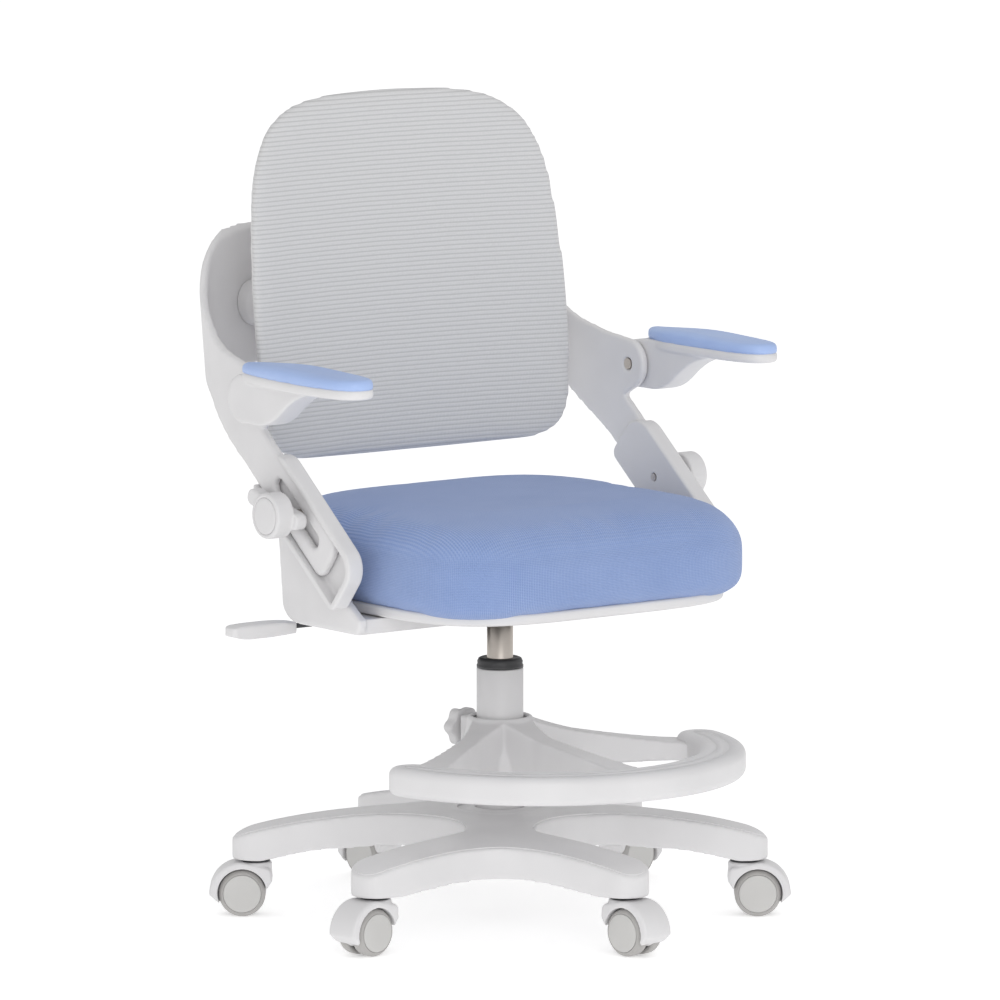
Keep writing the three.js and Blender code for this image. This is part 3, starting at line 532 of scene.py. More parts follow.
def castorWheel(way):
    inner, outer, radius = castor["inner"], castor["inner"] + castor["width"], castor["radius"]
    profile = [(0, inner + 9), (5, inner + 9), (5, inner), (8, inner), (8, inner + 6), (17, inner + 6), (17, inner + 0.6),
               (radius - 1.4, inner + 0.2), (radius - 0.4, inner + 0.8), (radius, inner + 2), (radius, inner + 9.6),
               (radius - 0.5, inner + 11), (21.6, outer - 0.3), (20.9, outer), (20.4, outer - 0.2), (20.2, outer - 1.1),
               (19.7, outer - 1.1), (19.4, outer - 0.3), (18.6, outer + 0.1), (6, outer + 0.1), (0, outer + 0.1)]
    turn = Matrix.Translation((castor["trail"], 0, radius)) @ Matrix.Rotation(-way * math.pi / 2, 4, "X")
    return turned("wheel", profile, turn, steps=56)


def copyMesh(obj, name, turn):
    twin = obj.copy()
    twin.data = obj.data.copy()
    twin.name = name
    twin.data.transform(turn)
    scene.collection.objects.link(twin)
    return twin


def castorCap(way):
    # the pale face disc of a wheel
    outer = castor["inner"] + castor["width"]
    turn = Matrix.Translation((castor["trail"], 0, castor["radius"])) @ Matrix.Rotation(-way * math.pi / 2, 4, "X")
    return turned("cap", [(0, outer - 1.5), (19.6, outer - 1.5), (20.1, outer), (19.6, outer + 0.35), (18.4, outer + 0.55),
                          (14, outer + 0.7), (0, outer + 0.8)], turn, steps=56)


hoodShape = castorHood()
wheelShapes = {"a": castorWheel(1), "b": castorWheel(-1)}
capShapes = {"a": castorCap(1), "b": castorCap(-1)}
wheelTurn = Matrix.Translation((castor["trail"], 0, castor["radius"])) @ Matrix.Rotation(math.radians(90), 4, "X")
# a dark disc between the two wheels: partly the dark inner hub, partly painted shade in the gap between the wheels and
# the hood
coreAndGapShadeShape = turned("coreAndGapShade", [(0, -3.9), (21, -3.9), (21, 3.9), (0, 3.9)], wheelTurn, steps=48)
axleShape = turned("axle", [(0, -castor["inner"] - 8), (3.2, -castor["inner"] - 8), (3.2, castor["inner"] + 8),
                            (0, castor["inner"] + 8)], wheelTurn, steps=24)
stemShape = turned("stem", [(0, castor["top"] - 6), (15.4, castor["top"] - 6), (15.4, castor["top"] + 2.4),
                            (5.2, castor["top"] + 2.4), (5.2, 76), (4.4, 77), (0, 77)], steps=32)
for i in range(1, 7):
    axle = joints[f"castor_{i}_roll_a"]["axis"]
    heading = math.atan2(-axle[0], axle[1])
    stem = pivot(f"castor_{i}_swivel") / 1000
    turn = Matrix.Translation((stem.x, stem.y, 0)) @ Matrix.Rotation(heading, 4, "Z")
    hood = copyMesh(hoodShape, f"castorHood{i}", turn)
    place(hood, f"castor_{i}", "white_plastic", polypropyleneMoulded, f"castor_{i}_hood")
    place(copyMesh(axleShape, f"castorAxle{i}", turn), f"castor_{i}", "dark_plastic", nylonMoulded)
    place(copyMesh(stemShape, f"castorStem{i}", turn), f"castor_{i}", "dark_plastic", nylonMoulded)
    for side, shape in wheelShapes.items():
        body = f"castor_{i}_wheel_{side}"
        place(copyMesh(shape, f"castorWheel{i}{side}", turn), body, "wheel_grey", polyurethaneMoulded, body)
        place(copyMesh(capShapes[side], f"castorCap{i}{side}", turn), body, "wheel_grey", polyamideMoulded)
    # the dark disc stands partly for the inner hub and partly for painted shade in the wheel gap
    place(copyMesh(coreAndGapShadeShape, f"castorCoreAndGapShade{i}", turn), f"castor_{i}", "dark_plastic", nylonMoulded)
for spare in (hoodShape, axleShape, stemShape, coreAndGapShadeShape, *wheelShapes.values(), *capShapes.values()):
    bpy.data.objects.remove(spare)
say("castors")

# column and gas lift
column = {"inner": 22, "foot": 62, "rod": 14.6, "steel": 11.5}
tubeTop = cadBox("column_tube")[1].z
bushTop = cadBox("column_bush")[1].z
liftLow, liftHigh = cadBox("gas_cylinder")
tube = turned("columnTube", [(column["inner"], column["foot"]), (tubeRadius - 0.8, column["foot"]),
                             (tubeRadius, column["foot"] + 1), (tubeRadius, tubeTop - 1.2), (tubeRadius - 1.2, tubeTop),
                             (column["inner"], tubeTop)], steps=72)
place(tube, "base", "white_plastic", polypropyleneMoulded, "column_tube")
bush = turned("columnBush", [(column["rod"], 160), (21.7, 160), (21.7, tubeTop + 0.3), (tubeRadius, tubeTop + 0.3),
                             (tubeRadius, tubeTop + 3), (tubeRadius - 1, tubeTop + 4), (tubeRadius - 0.6, bushTop - 4),
                             (tubeRadius - 2, bushTop - 1), (tubeRadius - 4, bushTop), (column["rod"], bushTop)], steps=72)
place(bush, "base", "dark_plastic", nylonMoulded, "column_bush")
lift = turned("gasCylinder", [(2.9, 318), (column["steel"], 318), (column["steel"], liftLow.z), (liftHigh.x - 0.5, liftLow.z),
                              (liftHigh.x, liftLow.z + 0.5), (liftHigh.x, liftHigh.z - 1), (liftHigh.x - 1, liftHigh.z),
                              (2.9, liftHigh.z)], steps=64)
place(lift, "lift", "steel", steelGroundChromed, "gas_cylinder")
say("column")

# foot ring
ring = {"centreY": -71, "outer": 218, "inner": 169, "edge": 8.5, "short": 9, "groove": 16.5, "armVoxel": 1.9}
ringLow, ringHigh = cadBox("foot_ring")
ringTop = 192


def ringBar():
    middle, half = (ring["outer"] + ring["inner"]) / 2, (ring["outer"] - ring["inner"]) / 2
    start, end = 180 + ring["short"], 360 - ring["short"]

    def tip(angle, radius):
        a = math.radians(angle)
        return middle * math.cos(a), middle * math.sin(a), radius

    outline = arc(0, 0, ring["outer"], start, end, 60) + arc(*tip(end, half), end, end + 180, 16)[1:]
    outline += arc(0, 0, ring["inner"], end, start, 60)[1:] + arc(*tip(start, half), start + 180, start + 360, 16)[1:-1]
    bm = prismBm(outline, 162, ringTop)
    roundEdges(bm, ring["edge"], 5)
    top = max(bm.faces, key=lambda f: f.calc_center_median().z)
    for thick, depth in ((ring["groove"] - ring["edge"], 0), (0.6, -1.1), (1.0, 0), (0.6, 1.1)):
        bmesh.ops.inset_region(bm, faces=[top], thickness=thick, depth=depth, use_even_offset=True)
    bmesh.ops.translate(bm, vec=(0, ring["centreY"], 0), verts=bm.verts)
    return makeObject("footRingBar", bm)


def ringSpider():
    # collar, three flared arms and the knob's boss in one casting
    collar = turned("footRingHub", [(29.4, 157), (44, 157), (46, 158), (44.5, 168), (41, 180), (37.5, 196), (35.5, 210),
                                    (34.6, 214.5), (33.4, 216), (29.4, 216)], steps=72)
    middle = (ring["outer"] + ring["inner"]) / 2
    short = math.radians(ring["short"])
    endX, endY = middle * math.cos(short) - 6, ring["centreY"] - middle * math.sin(short)
    for tipX, tipY in ((0, ring["centreY"] - middle), (endX, endY), (-endX, endY)):
        length = math.hypot(tipX, tipY)
        side = [(10, 158), (length - 16, 165), (length, 166)]
        side += [(length, 183)] + quad((length, 183), (length - 55, 186), (78, 199), 8)
        side += quad((78, 199), (52, 205), (30, 213), 6)
        arm = prism("arm", side + [(10, 213)], -46, 46, alongX)
        edge = [(30, 2)] + quad((30, 2), (16, 34), (12, 74), 8) + quad((12, 74), (12, length - 44), (26, length - 4), 8)
        flare = edge + [(-x, y) for x, y in reversed(edge)]
        cutBy(arm, prism("flare", flare, 100, 260), "INTERSECT")
        arm.data.transform(Matrix.Rotation(math.atan2(tipY, tipX) - math.pi / 2, 4, "Z"))
        cutBy(collar, arm, "UNION")
    cutBy(collar, prism("boss", roundedBox(-13, 20, 13, 55.5, 3), 181, 210, edge=2), "UNION")
    cutBy(collar, turned("bore", [(0, 100), (29.4, 100), (29.4, 300), (0, 300)], steps=72))
    return moulded(collar, ring["armVoxel"], 6)


place(ringBar(), "foot_ring", "white_plastic", polypropyleneMoulded, "foot_ring")
place(ringSpider(), "foot_ring", "white_plastic", polypropyleneMoulded)


def lobedKnob(knob):
    points = []
    for i in range(96):
        angle = math.tau * i / 96
        reach = knob["reach"] - knob["lobeDepth"] * (0.5 - 0.5 * math.cos(knob["lobes"] * angle))
        points.append((reach * math.cos(angle), reach * math.sin(angle)))
    bm = prismBm(points, 0, 15)
    roundEdges(bm, 3, 4)
    face = max(bm.faces, key=lambda f: f.calc_center_median().z)
    bmesh.ops.inset_region(bm, faces=[face], thickness=4, depth=0)
    bmesh.ops.inset_region(bm, faces=[face], thickness=1.2, depth=-1.0)
    turn = Matrix.Translation((0, 59, 195)) @ Matrix.Rotation(math.radians(-90), 4, "X")
    bmesh.ops.transform(bm, matrix=turn, verts=bm.verts)
    return makeObject("ringKnob", bm)


clampKnob = lobedKnob({"reach": 21.5, "lobeDepth": 3.6, "lobes": 6})
place(clampKnob, "ring_knob", "white_plastic", polypropyleneMoulded, "ring_knob")
say("foot ring")

# seat mechanism, lever and brackets
mechLow, mechHigh = cadBox("seat_mechanism")
leverAt = pivot("lever_lift")


def mechanismPan():
    low, high, front = mechLow.z, mechHigh.z, mechLow.y
    side = [(front, 328), (30, 328), (66, low), (mechHigh.y, low), (mechHigh.y, high), (front, high)]
    pan = prism("seatMechanism", side, mechLow.x, mechHigh.x, alongX, edge=2.5)
    cutBy(pan, prism("inside", roundedBox(mechLow.x + 3, front + 3, mechHigh.x - 3, mechHigh.y - 3, 5), low - 9, high - 4))
    socket = turned("socket", [(14.5, 318), (20, 318), (20, 342), (0, 342), (0, 338), (14.5, 338)], steps=48)
    cutBy(pan, socket, "UNION")
    cutBy(pan, prism("leverWay", roundedBox(-15, -8, 15, 34, 2), 327, 341))
    hole = prism("hole", arc(leverAt.y, leverAt.z, 9, 0, 348, 29), -70, -50, alongX)
    return cutBy(pan, hole)


pan = mechanismPan()
pan.data.polygons.foreach_set("use_smooth", [False] * len(pan.data.polygons))
place(pan, "seat", "black_steel", steelPowderCoated, "seat_mechanism")
frame["nodes"]["lever_bush"].data.materials.clear()
frame["nodes"]["lever_bush"].data.materials.append(nylonMoulded)

lever = {"radius": 2.8, "outer": -224}
leverPath = [(lever["outer"], 0, 0), (-150, 0, 0), (-75, 0, 0), (-52, -1, 0.5), (-36, -16, 4), (-16, -48, 12), (0, -78, 17),
             (0, -92, 17.2)]
curve = bpy.data.curves.new("liftLever", "CURVE")
curve.dimensions = "3D"
curve.bevel_depth = lever["radius"] / 1000
curve.bevel_resolution = 5
curve.use_fill_caps = True
spline = curve.splines.new("BEZIER")
spline.bezier_points.add(len(leverPath) - 1)
for point, (x, y, z) in zip(spline.bezier_points, leverPath):
    point.co = (x / 1000, (leverAt.y + y) / 1000, (leverAt.z + z) / 1000)
    point.handle_left_type = point.handle_right_type = "AUTO"
leverRod = bpy.data.objects.new("liftLeverCurve", curve)
scene.collection.objects.link(leverRod)
bpy.context.view_layer.update()
rodMesh = bpy.data.meshes.new_from_object(leverRod.evaluated_get(bpy.context.evaluated_depsgraph_get()))
bpy.data.objects.remove(leverRod)
leverRod = bpy.data.objects.new("liftLever", rodMesh)
scene.collection.objects.link(leverRod)
place(leverRod, "lever", "black_steel", steelPowderCoated, "lift_lever")


def leverGrip():
    y, z = leverAt.y, leverAt.z
    low, high = cadBox("lever_grip")
    outline = roundedBox(low.x, y - 12, high.x, y + 12, [5, 5, 11, 11], 10)
    grip = prism("leverGrip", outline, low.z, high.z, edge=4, segments=4)
    side = curvePoints((low.x - 2, z - 2), ((low.x + 10, z - 8.5), (low.x + 30, z - 8.5), (low.x + 46, z - 8)),
                       ((low.x + 62, z - 7.4), (low.x + 72, z - 6.4), (high.x + 2, z - 5.6)))
    side += curvePoints((high.x + 2, z + 5.6), ((low.x + 70, z + 6.6), (low.x + 60, z + 8), (low.x + 40, z + 8)),
                        ((low.x + 24, z + 8), (low.x + 10, z + 8), (low.x - 2, z + 5)))
    cutBy(grip, prism("blade", side, -y - 20, -y + 20, across), "INTERSECT")
    return moulded(grip, 0.9, 3)


place(leverGrip(), "lever", "white_plastic", polypropyleneMoulded, "lever_grip")

bracket = {"inner": 219, "outer": 229.7, "voxel": 2.0}
railAxis = joints["yoke_slide"]["axis"]
railDown = Vector((railAxis[1], railAxis[2])).normalized()
boltAt = Vector((pivot("lock_right_turn").y, pivot("lock_right_turn").z))
boltAlong = 71
railTop = boltAt - railDown * boltAlong


def onRail(along, across):
    # down the rail, and forwards across it, as (y, z)
    return (railTop.x + along * railDown.x + across * railDown.y, railTop.y + along * railDown.y - across * railDown.x)


def sideBracket():
    outline = curvePoints((86, 424), ("line", (78, 345)), ((74, 334), (62, 328), (48, 328)), ("line", (-50, 328)),
                          ((-58, 328), (-61, 332), (-60, 344)), ("line", (-20, 372)), ("line", (60, 430)))
    body = prism("sideBracket", outline, -bracket["outer"], -bracket["inner"], alongX)
    cutBy(body, prism("arm", roundedBox(-bracket["outer"], -56, -60.3, 48, 6), 328, 344), "UNION")
    return moulded(body, bracket["voxel"], 5)


bracketRight = sideBracket()
bracketLeft = mirrorCopy(bracketRight, "sideBracketLeft")
place(bracketRight, "seat", "white_plastic", polypropyleneMoulded, "bracket_right")
place(bracketLeft, "seat", "white_plastic", polypropyleneMoulded, "bracket_left")

# side rails with their recess, and the lock knobs
rail = {"length": 186, "half": 33.5, "lip": 7, "inner": 230, "outer": 250, "recess": 236}


def railMatrix():
    dy, dz = railDown
    return Matrix(((0, 0, 1, 0), (dy, -dz, 0, railTop.x), (dz, dy, 0, railTop.y), (0, 0, 0, 1)))


def sideRail():
    half, lip = rail["half"], rail["lip"]
    outer = roundedBox(0, -half, rail["length"], half, [30, 26, 10, 10], 12)
    body = prism("sideRail", outer, -rail["outer"], -rail["inner"], railMatrix(), edge=2.2, segments=3)
    inside = roundedBox(-20, -half + lip, rail["length"] - lip, half - lip, [24, 20, 2, 2], 12)
    cutBy(body, prism("recess", inside, -260, -rail["recess"], railMatrix()))
    cutBy(body, prism("boltHole", arc(boltAt.x, boltAt.y, 4.4, 0, 345, 23), -270, -200, alongX))
    return moulded(body, 1.3, 3)


railRight = sideRail()
railLeft = mirrorCopy(railRight, "sideRailLeft")
place(railRight, "seat", "white_plastic", polypropyleneMoulded, "rail_right")
place(railLeft, "seat", "white_plastic", polypropyleneMoulded, "rail_left")

lock = {"reach": 24.3, "cap": 19.3, "face": 286, "wingLow": -30, "wingHigh": 62, "wingHalf": 9, "tilt": 14}


def lockKnob():
    face = lock["face"]
    wing = roundedBox(lock["wingLow"], -lock["wingHalf"], lock["wingHigh"], lock["wingHalf"], 8.5, 8)
    turn = Matrix.Translation((0, boltAt.x, boltAt.y)) @ Matrix.Rotation(math.radians(lock["tilt"]), 4, "X") @ alongX
    bar = prism("lockKnob", wing, -face + 20, -251.2, turn, edge=2.5, segments=3)
    seat = Matrix.Translation((0, boltAt.x, boltAt.y)) @ Matrix.Rotation(math.radians(-90), 4, "Y")
    reach = lock["reach"]
    drum = turned("drum", [(0, face - 22), (reach - 1.5, face - 22), (reach, face - 20.5), (reach, face - 2.6),
                           (reach - 0.8, face - 0.8), (reach - 2.6, face), (lock["cap"] + 0.6, face), (lock["cap"] + 0.5, face - 2),
                           (0, face - 2)], seat)
    cutBy(bar, drum, "UNION")
    cutBy(bar, turned("way", [(0, 240), (4.4, 240), (4.4, face - 6), (0, face - 6)], seat, steps=32))
    return moulded(bar, 0.9, 2)


def lockCap():
    seat = Matrix.Translation((0, boltAt.x, boltAt.y)) @ Matrix.Rotation(math.radians(-90), 4, "Y")
    cap, face = lock["cap"], lock["face"]
    return turned("lockCap", [(0, face - 2.2), (cap, face - 2.2), (cap, face - 0.5), (cap - 0.6, face), (cap - 3, face + 0.3),
                              (0, face + 0.3)], seat)


for make, node, word in ((lockKnob, "lock_knob", "lockKnob"), (lockCap, "lock_cap", "lockCap")):
    piece = make()
    piece.name = word + "Right"
    place(mirrorCopy(piece, word + "Left"), "lock_left", "white_plastic", polypropyleneMoulded, node + "_left")
    place(piece, "lock_right", "white_plastic", polypropyleneMoulded, node + "_right")
say("brackets, rails and locks")

# yoke
yoke = {"innerX": 236.4, "wall": 9.4, "lean": 0.12, "rear": 280, "end": 146, "half": 25.5, "voxel": 2.0, "soften": 9}
armAt = pivot("arm_right_flip")
armHub = 26


def yokePlan(inset):
    side, rear = yoke["innerX"] + yoke["wall"] - inset, yoke["rear"] - inset
    right = curvePoints((side, -60), ("line", (side, 136)), ((side - 1, 166), (side - 5, 192), (side - 12, 218)),
                        ((side - 25, rear - 12), (150, rear - 1), (0, rear)), count=40)
    return right + [(-x, y) for x, y in reversed(right[:-1])]


def yokeSide():
    end, half = yoke["end"], yoke["half"]
    outline = [onRail(-30, half), onRail(end - 22, half)]
    outline += quad(outline[-1], onRail(end, half), onRail(end, half - 22))
    outline += [onRail(end, 14 - half)] + quad(onRail(end, 14 - half), onRail(end, -half), onRail(end - 14, -half))
    outline += [onRail(-32, -half)]
    for middle, last in (((165, 518), (188, 540)), ((206, 566), (240, 577))):
        outline += quad(outline[-1], middle, last, 14)
    outline += [(295, 589), (295, 734)]
    topRun = ((264, 730), (247, 697)), ((228, 655), (200, 628)), ((184, 612), (150, 604)), ((128, 598), (110, 597))
    for middle, last in topRun:
        outline += quad(outline[-1], middle, last, 14)
    return outline + arc(armAt.y, armAt.z, armHub + 1, 90, 240, 24)


# the wall leans back: its plan moves rearwards as it rises
leaning = Matrix(((1, 0, 0, 0), (0, 1, yoke["lean"], -yoke["lean"] * 690), (0, 0, 1, 0), (0, 0, 0, 1)))


def yokeShell():
    body = prism("yoke", yokePlan(0), 300, 800, leaning)
    cutBy(body, prism("hollow", [(x, y - (0.01 if y < 0 else 0)) for x, y in yokePlan(yoke["wall"])], 290, 810, leaning))
    cutBy(body, prism("sideCut", yokeSide(), -300, 300, alongX), "INTERSECT")
    rightTop = curvePoints((300, 632), ("line", (246, 632)), ((236, 640), (226, 664), (214, 684)),
                           ((195, 715), (160, 736), (110, 742)), count=16)
    crown = rightTop + [(-x, z) for x, z in reversed(rightTop)] + [(-300, 290), (300, 290)]
    cutBy(body, prism("crown", crown, -340, 120, across), "INTERSECT")
    slot = roundedBox(boltAlong - 48, -8, boltAlong + 48, 8, 7.9, 8)
    cutBy(body, prism("slot", slot, -300, 300, railMatrix()))
    cutBy(body, prism("armHole", arc(armAt.y, armAt.z, 6.4, 0, 345, 23), -300, 300, alongX))
    return moulded(body, yoke["voxel"], yoke["soften"])


place(yokeShell(), "yoke", "white_plastic", polypropyleneMoulded, "yoke")
say("yoke")

# back: a moulded shell behind a knitted pad
back = {"width": 418, "height": 398, "radius": 840, "recline": 6.8, "low": (129.5, 484), "pad": 14, "shell": 7.6,
        "shellInset": 13}
backPivot = pivot("back_tilt")
hubX = (cadBox("back_hub_left")[0].x + cadBox("back_hub_left")[1].x) / 2


def backOutline(inset):
    half, top, low = back["width"] / 2 - inset, back["height"] - inset, inset
    right = curvePoints((0, low - 1.5), ((60, low - 2), (100, low - 1), (138, low)),
                        ((half - 20, low + 1), (half - 4, low + 16), (half - 1, 68)),
                        ((half + 5, 128), (half + 3, 220), (half - 8, 290)),
                        ((half - 22, top - 34), (150, top - 8), (70, top - 3)), ((30, top), (15, top), (0, top)), count=14)
    return right + [(-x, y) for x, y in reversed(right[1:-1])]


def bendBack(obj):
    # depth 0 is the pad's face; the flat slab takes the plan curve and leans
    reach = math.sqrt(back["radius"] ** 2 - (back["width"] / 2) ** 2)
    lean = Matrix.Translation((0, back["low"][0] / 1000, back["low"][1] / 1000)) @ Matrix.Rotation(
        math.radians(-back["recline"]), 4, "X")
    for v in obj.data.vertices:
        x, depth, height = v.co * 1000
        y = math.sqrt((back["radius"] + depth) ** 2 - x * x) - reach
        v.co = lean @ Vector((x / 1000, y / 1000, height / 1000))
    obj.data.update()


def backShell():
    shell = prism("backShell", backOutline(back["shellInset"]), back["pad"] + 0.4, back["pad"] + back["shell"] + 0.4, standUp)
    facesOut(shell)
    moulded(shell, 2.4, 2)
    bendBack(shell)
    for side in (-1, 1):
        lug = [(172, 622), (backPivot.y, backPivot.z - 10)]
        lug += arc(backPivot.y, backPivot.z, 10, -90, 90, 16)[1:] + [(172, 666)]
        piece = prism("lug", lug, side * hubX - 7, side * hubX + 7, alongX)
        front = prism("front", backOutline(-12), -40, back["pad"] + 2, standUp)
        facesOut(front)
        sliceAcross(front)
        bendBack(front)
        cutBy(piece, front)
        cutBy(shell, piece, "UNION")
    return moulded(shell, 2.2, 3)


def inflate(obj, pressure, cap, frames=20):
    # the pad swells as stuffed cloth does, and no point moves further than cap
    before = [v.co.copy() for v in obj.data.vertices]
    mod = obj.modifiers.new("stuffing", "CLOTH")
    mod.settings.use_pressure = True
    mod.settings.uniform_pressure_force = pressure
    mod.settings.effector_weights.gravity = 0
    mod.settings.quality = 5
    mod.point_cache.frame_start, mod.point_cache.frame_end = 1, frames
    for f in range(1, frames + 1):
        scene.frame_set(f)
    settle(obj)
    scene.frame_set(1)
    for v, old in zip(obj.data.vertices, before):
        move = v.co - old
        if move.length > cap / 1000:
            v.co = old + move.normalized() * cap / 1000
    return obj


def backPad():
    pad = prism("backPad", backOutline(2.5), 2, back["pad"] - 0.4, standUp)
    facesOut(pad)
    moulded(pad, 4.6, 3)
    inflate(pad, 4.0, 2.2)
    sub = pad.modifiers.new("finer", "SUBSURF")
    sub.levels = sub.render_levels = 1
    settle(pad)
    rear = (back["pad"] - 0.2) / 1000
    for v in pad.data.vertices:
        v.co.y = min(v.co.y, rear)
    bendBack(pad)
    pad.data.polygons.foreach_set("use_smooth", [True] * len(pad.data.polygons))
    return pad


place(backShell(), "back", "white_plastic", polypropyleneMoulded, "back_shell")
pad = backPad()
place(pad, "back", "grey_knit", polyesterSpacerKnit, "back_pad")


def backHub(side):
    x = side * hubX
    low, high = cadBox("back_hub_left")
    profile = [(0, low.y - 2), (17, low.y - 2), (19, low.y), (23, low.y + 8), (25, low.y + 16), (25, 300), (0, 300)]
    hub = turned("backHub", profile,
                 Matrix.Translation((x, 0, backPivot.z)) @ Matrix.Rotation(math.radians(-90), 4, "X"), steps=56)
    cutBy(hub, prism("wall", yokePlan(yoke["wall"] + 0.3), 560, 720, leaning), "INTERSECT")
    cutBy(hub, prism("slot", roundedBox(x - 8, 215, x + 8, 252, 1), 600, 700))
    return moulded(hub, 1.2, 2)


for word, side in (("right", -1), ("left", 1)):
    place(backHub(side), "yoke", "white_plastic", polypropyleneMoulded, f"back_hub_{word}")
say("back")

# seat: tray, board and cushion
seat = {"half": 212, "power": 4.6, "bulge": 5.2, "rearIn": 0.22, "rearShort": 14, "trayInset": 12, "trayPower": 4,
        "crown": 17, "waterfall": 7, "overhang": 4, "grow": 1.5, "voxel": 6, "pressure": 4.0, "cap": 6}
cushionLow, cushionHigh = cadBox("seat_cushion")
trayLow, trayHigh = cadBox("seat_tray")
midY = (cushionLow.y + cushionHigh.y) / 2
halfY = (cushionHigh.y - cushionLow.y) / 2


def squircle(inset, power, count=128):
    points = []
    for i in range(count):
        a = math.tau * i / count
        c, s = math.cos(a), math.sin(a)
        x = math.copysign(abs(c) ** (2 / power), c) * (seat["half"] - inset)
        y = math.copysign(abs(s) ** (2 / power), s) * (halfY - inset)
        points.append((x, midY + y))
    return points


def narrowed(x, y):
    # the seat draws in towards the back
    t = max(0, (y - 20) / (midY + halfY - 20))
    return x * (1 - seat["rearIn"] * t ** 2.2), y - seat["rearShort"] * t * t


def seatTray():
    inset, power = seat["trayInset"], seat["trayPower"]
    outer, inner = ([narrowed(*p) for p in squircle(inset + step, power)] for step in (0, 9))
    tray = prism("seatTray", outer, trayLow.z, trayHigh.z, edge=3.5, segments=4)
    return cutBy(tray, prism("inside", inner, trayLow.z + 5, trayHigh.z + 9))


place(seatTray(), "seat", "white_plastic", polypropyleneMoulded, "seat_tray")
boardLow, boardHigh = cadBox("seat_board")
boardPlan = [narrowed(*p) for p in squircle(seat["trayInset"] + 10, seat["trayPower"])]
board = prism("seatBoard", boardPlan, boardLow.z, boardHigh.z - seat["overhang"], edge=0.8, segments=2)
place(board, "seat", "plywood", birchPlywood, "seat_board")


def ringPlace(x, y):
    # 0 in the middle of the seat, 1 on its edge
    return (abs(x / seat["half"]) ** seat["power"] + abs((y - midY) / halfY) ** seat["power"]) ** (1 / seat["power"])


def seatCushion():
    low, high = cushionLow.z - seat["overhang"], cushionHigh.z
    bm = prismBm(squircle(-seat["grow"], seat["bulge"]), low, high - seat["crown"])
    top = [e for e in bm.edges if all(v.co.z > low + 1 for v in e.verts)]
    bottom = [e for e in bm.edges if all(v.co.z < low + 1 for v in e.verts)]
    for edges, offset, segments in ((top, 32, 8), (bottom, 22, 7)):
        bmesh.ops.bevel(bm, geom=edges, offset=offset, offset_type="OFFSET", segments=segments, profile=0.5, affect="EDGES",
                        clamp_overlap=True, material=-1)
    cushion = makeObject("seatCushion", bm)
    moulded(cushion, seat["voxel"], 2)
    inflate(cushion, seat["pressure"], seat["cap"])
    sub = cushion.modifiers.new("finer", "SUBSURF")
    sub.levels = sub.render_levels = 1
    settle(cushion)
    for v in cushion.data.vertices:
        x, y, z = v.co * 1000
        r = min(1, ringPlace(x, y))
        rise = max(0, (z - low) / (high - seat["crown"] - low))
        z += seat["crown"] * (1 - r ** 3.0) * min(1, rise) ** 2
        z -= seat["waterfall"] * max(0, (-y - 110) / 100) ** 2 * rise
        x, y = narrowed(x, y)
        if -80 < y < 105:
            x = max(-217, min(217, x))   # clear of the side brackets
        v.co = Vector((x, y, min(max(z, low + 0.1), high + 3))) / 1000
    cushion.data.update()
    cushion.data.polygons.foreach_set("use_smooth", [True] * len(cushion.data.polygons))
    return cushion


cushion = seatCushion()
place(cushion, "seat", "blue_fabric", polyesterWoven, "seat_cushion")
say("seat")

# armrests
arm = {"hub": 26, "inner": 246.2, "plateLow": 585, "plateTop": 596, "padTop": 606.5, "front": -124, "voxel": 1.6}


def armPlan(inset, rearInner):
    front = arm["front"] + inset
    return curvePoints((-276, 84 - inset), ((-285, 62), (-295 + inset, 10), (-295 + inset, -56)),
                       ((-295 + inset, -100), (-288 + inset, front), (-267, front)),
                       ((-247 - inset, front), (-240 - inset, -100), (-240 - inset, -56)),
                       ((-240 - inset, -20), (-241 - inset, 0), (-242 - inset, 20)),
                       ((-243 - inset, 42), (-247 - inset, 50), rearInner), ("line", (-264, 84 - inset)), count=14)


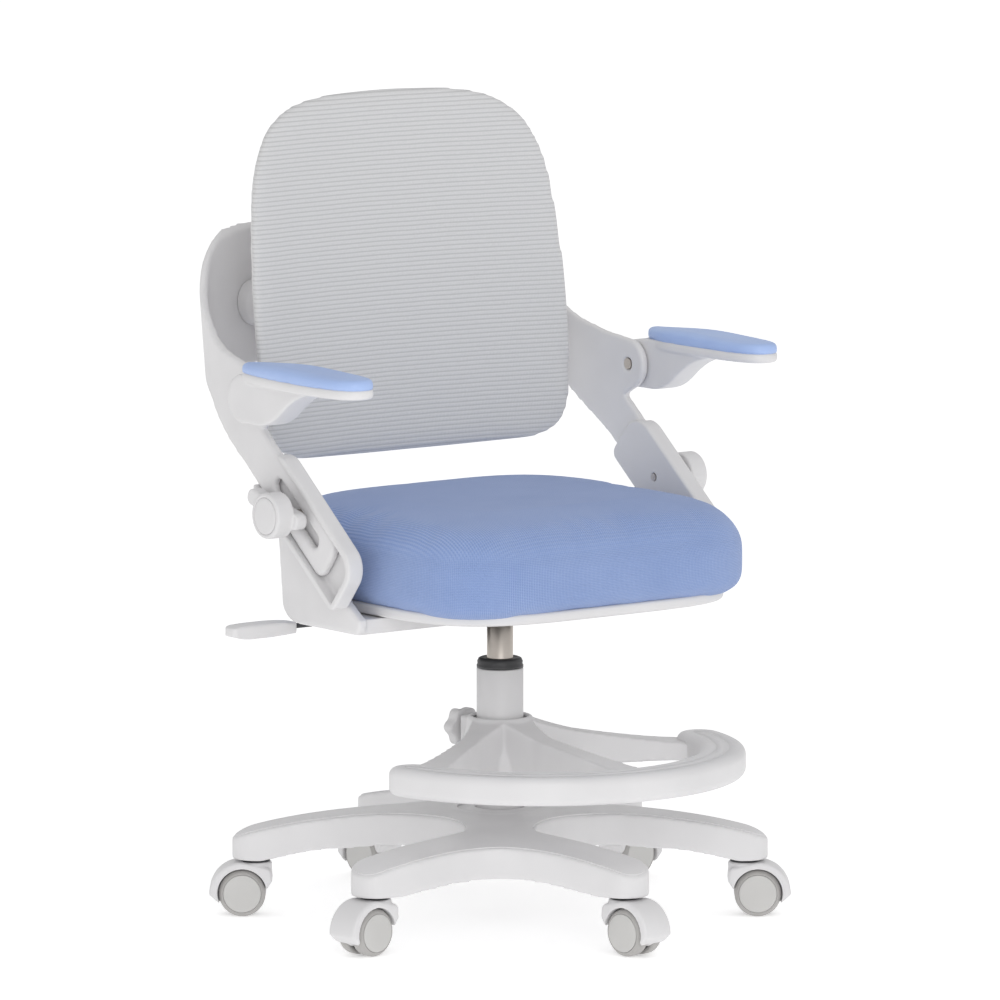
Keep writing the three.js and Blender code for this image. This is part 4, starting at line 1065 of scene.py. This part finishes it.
def armBody():
    inner, x, y = arm["inner"], armAt.y, armAt.z
    side = arc(x, y, arm["hub"], -90, 90, 24)
    side += quad(side[-1], (x - 10, 595), (x - 30, 595), 6) + [(-10, 595)]
    side += quad((-10, 595), (-34, 592), (-40, 583), 6) + quad((-40, 583), (-10, 579), (16, 557), 8)
    side += quad((16, 557), (36, 541), (58, 541), 8)
    body = prism("armRest", side, -inner - 30, -inner, alongX, edge=3)
    taper = prism("taper", [(-290, -60), (-244, -60), (-244, 120), (-277, 120), (-277, 40)], 500, 620)
    cutBy(body, taper, "INTERSECT")
    plate = prism("plate", armPlan(0, (-249.5, 56)), arm["plateLow"], arm["plateTop"], edge=3.5, segments=3, steeper=45)
    cutBy(body, plate, "UNION")
    cutBy(body, prism("hole", arc(x, y, 6.4, 0, 345, 23), -inner - 20, -200, alongX))
    return moulded(body, arm["voxel"], 5)


def armPad():
    bm = prismBm(armPlan(0.3, (-252, 66)), 594.2, arm["padTop"] - 0.5)
    rim = [e for e in bm.edges if all(v.co.z > 600 for v in e.verts)]
    bmesh.ops.bevel(bm, geom=rim, offset=6, offset_type="OFFSET", segments=5, profile=0.5, affect="EDGES", clamp_overlap=True,
                    material=-1)
    pad = makeObject("armPad", bm)
    moulded(pad, 2.0, 2)
    inflate(pad, 3.0, 1.2, 10)
    for v in pad.data.vertices:
        rise = math.exp(-((v.co.y + 0.005) / 0.05) ** 2) * 0.0022   # fuller over the elbow
        v.co.z = max(v.co.z + rise * (v.co.z > 0.6), 0.5943)
    pad.data.polygons.foreach_set("use_smooth", [True] * len(pad.data.polygons))
    return pad


armRight, padRight = armBody(), armPad()
for word, side in (("left", 1), ("right", -1)):
    body = mirrorCopy(armRight, "armRestLeft") if side > 0 else armRight
    softPad = mirrorCopy(padRight, "armPadLeft") if side > 0 else padRight
    place(body, f"arm_{word}", "white_plastic", polypropyleneMoulded, f"arm_{word}")
    place(softPad, f"arm_{word}", "arm_pad", polyurethaneSkin, f"arm_pad_{word}")
say("armrests")

# steel pins and inner pieces keep their turned shapes
finishes = {"piston_rod": steelGroundChromed, "thrust_bearing": steelGroundChromed, "retaining_clip": steelPowderCoated,
            "release_pin": steelGroundChromed, "foot_ring_sleeve": nylonMoulded, "ring_knob_stud": steelGroundChromed,
            "lock_bolt_right": steelGroundChromed, "lock_bolt_left": steelGroundChromed, "back_pin_right": steelGroundChromed,
            "back_pin_left": steelGroundChromed, "arm_pin_right": steelGroundChromed, "arm_pin_left": steelGroundChromed}
for node, material in finishes.items():
    frame["nodes"][node].data.materials.clear()
    frame["nodes"][node].data.materials.append(material)
say("inner pieces")
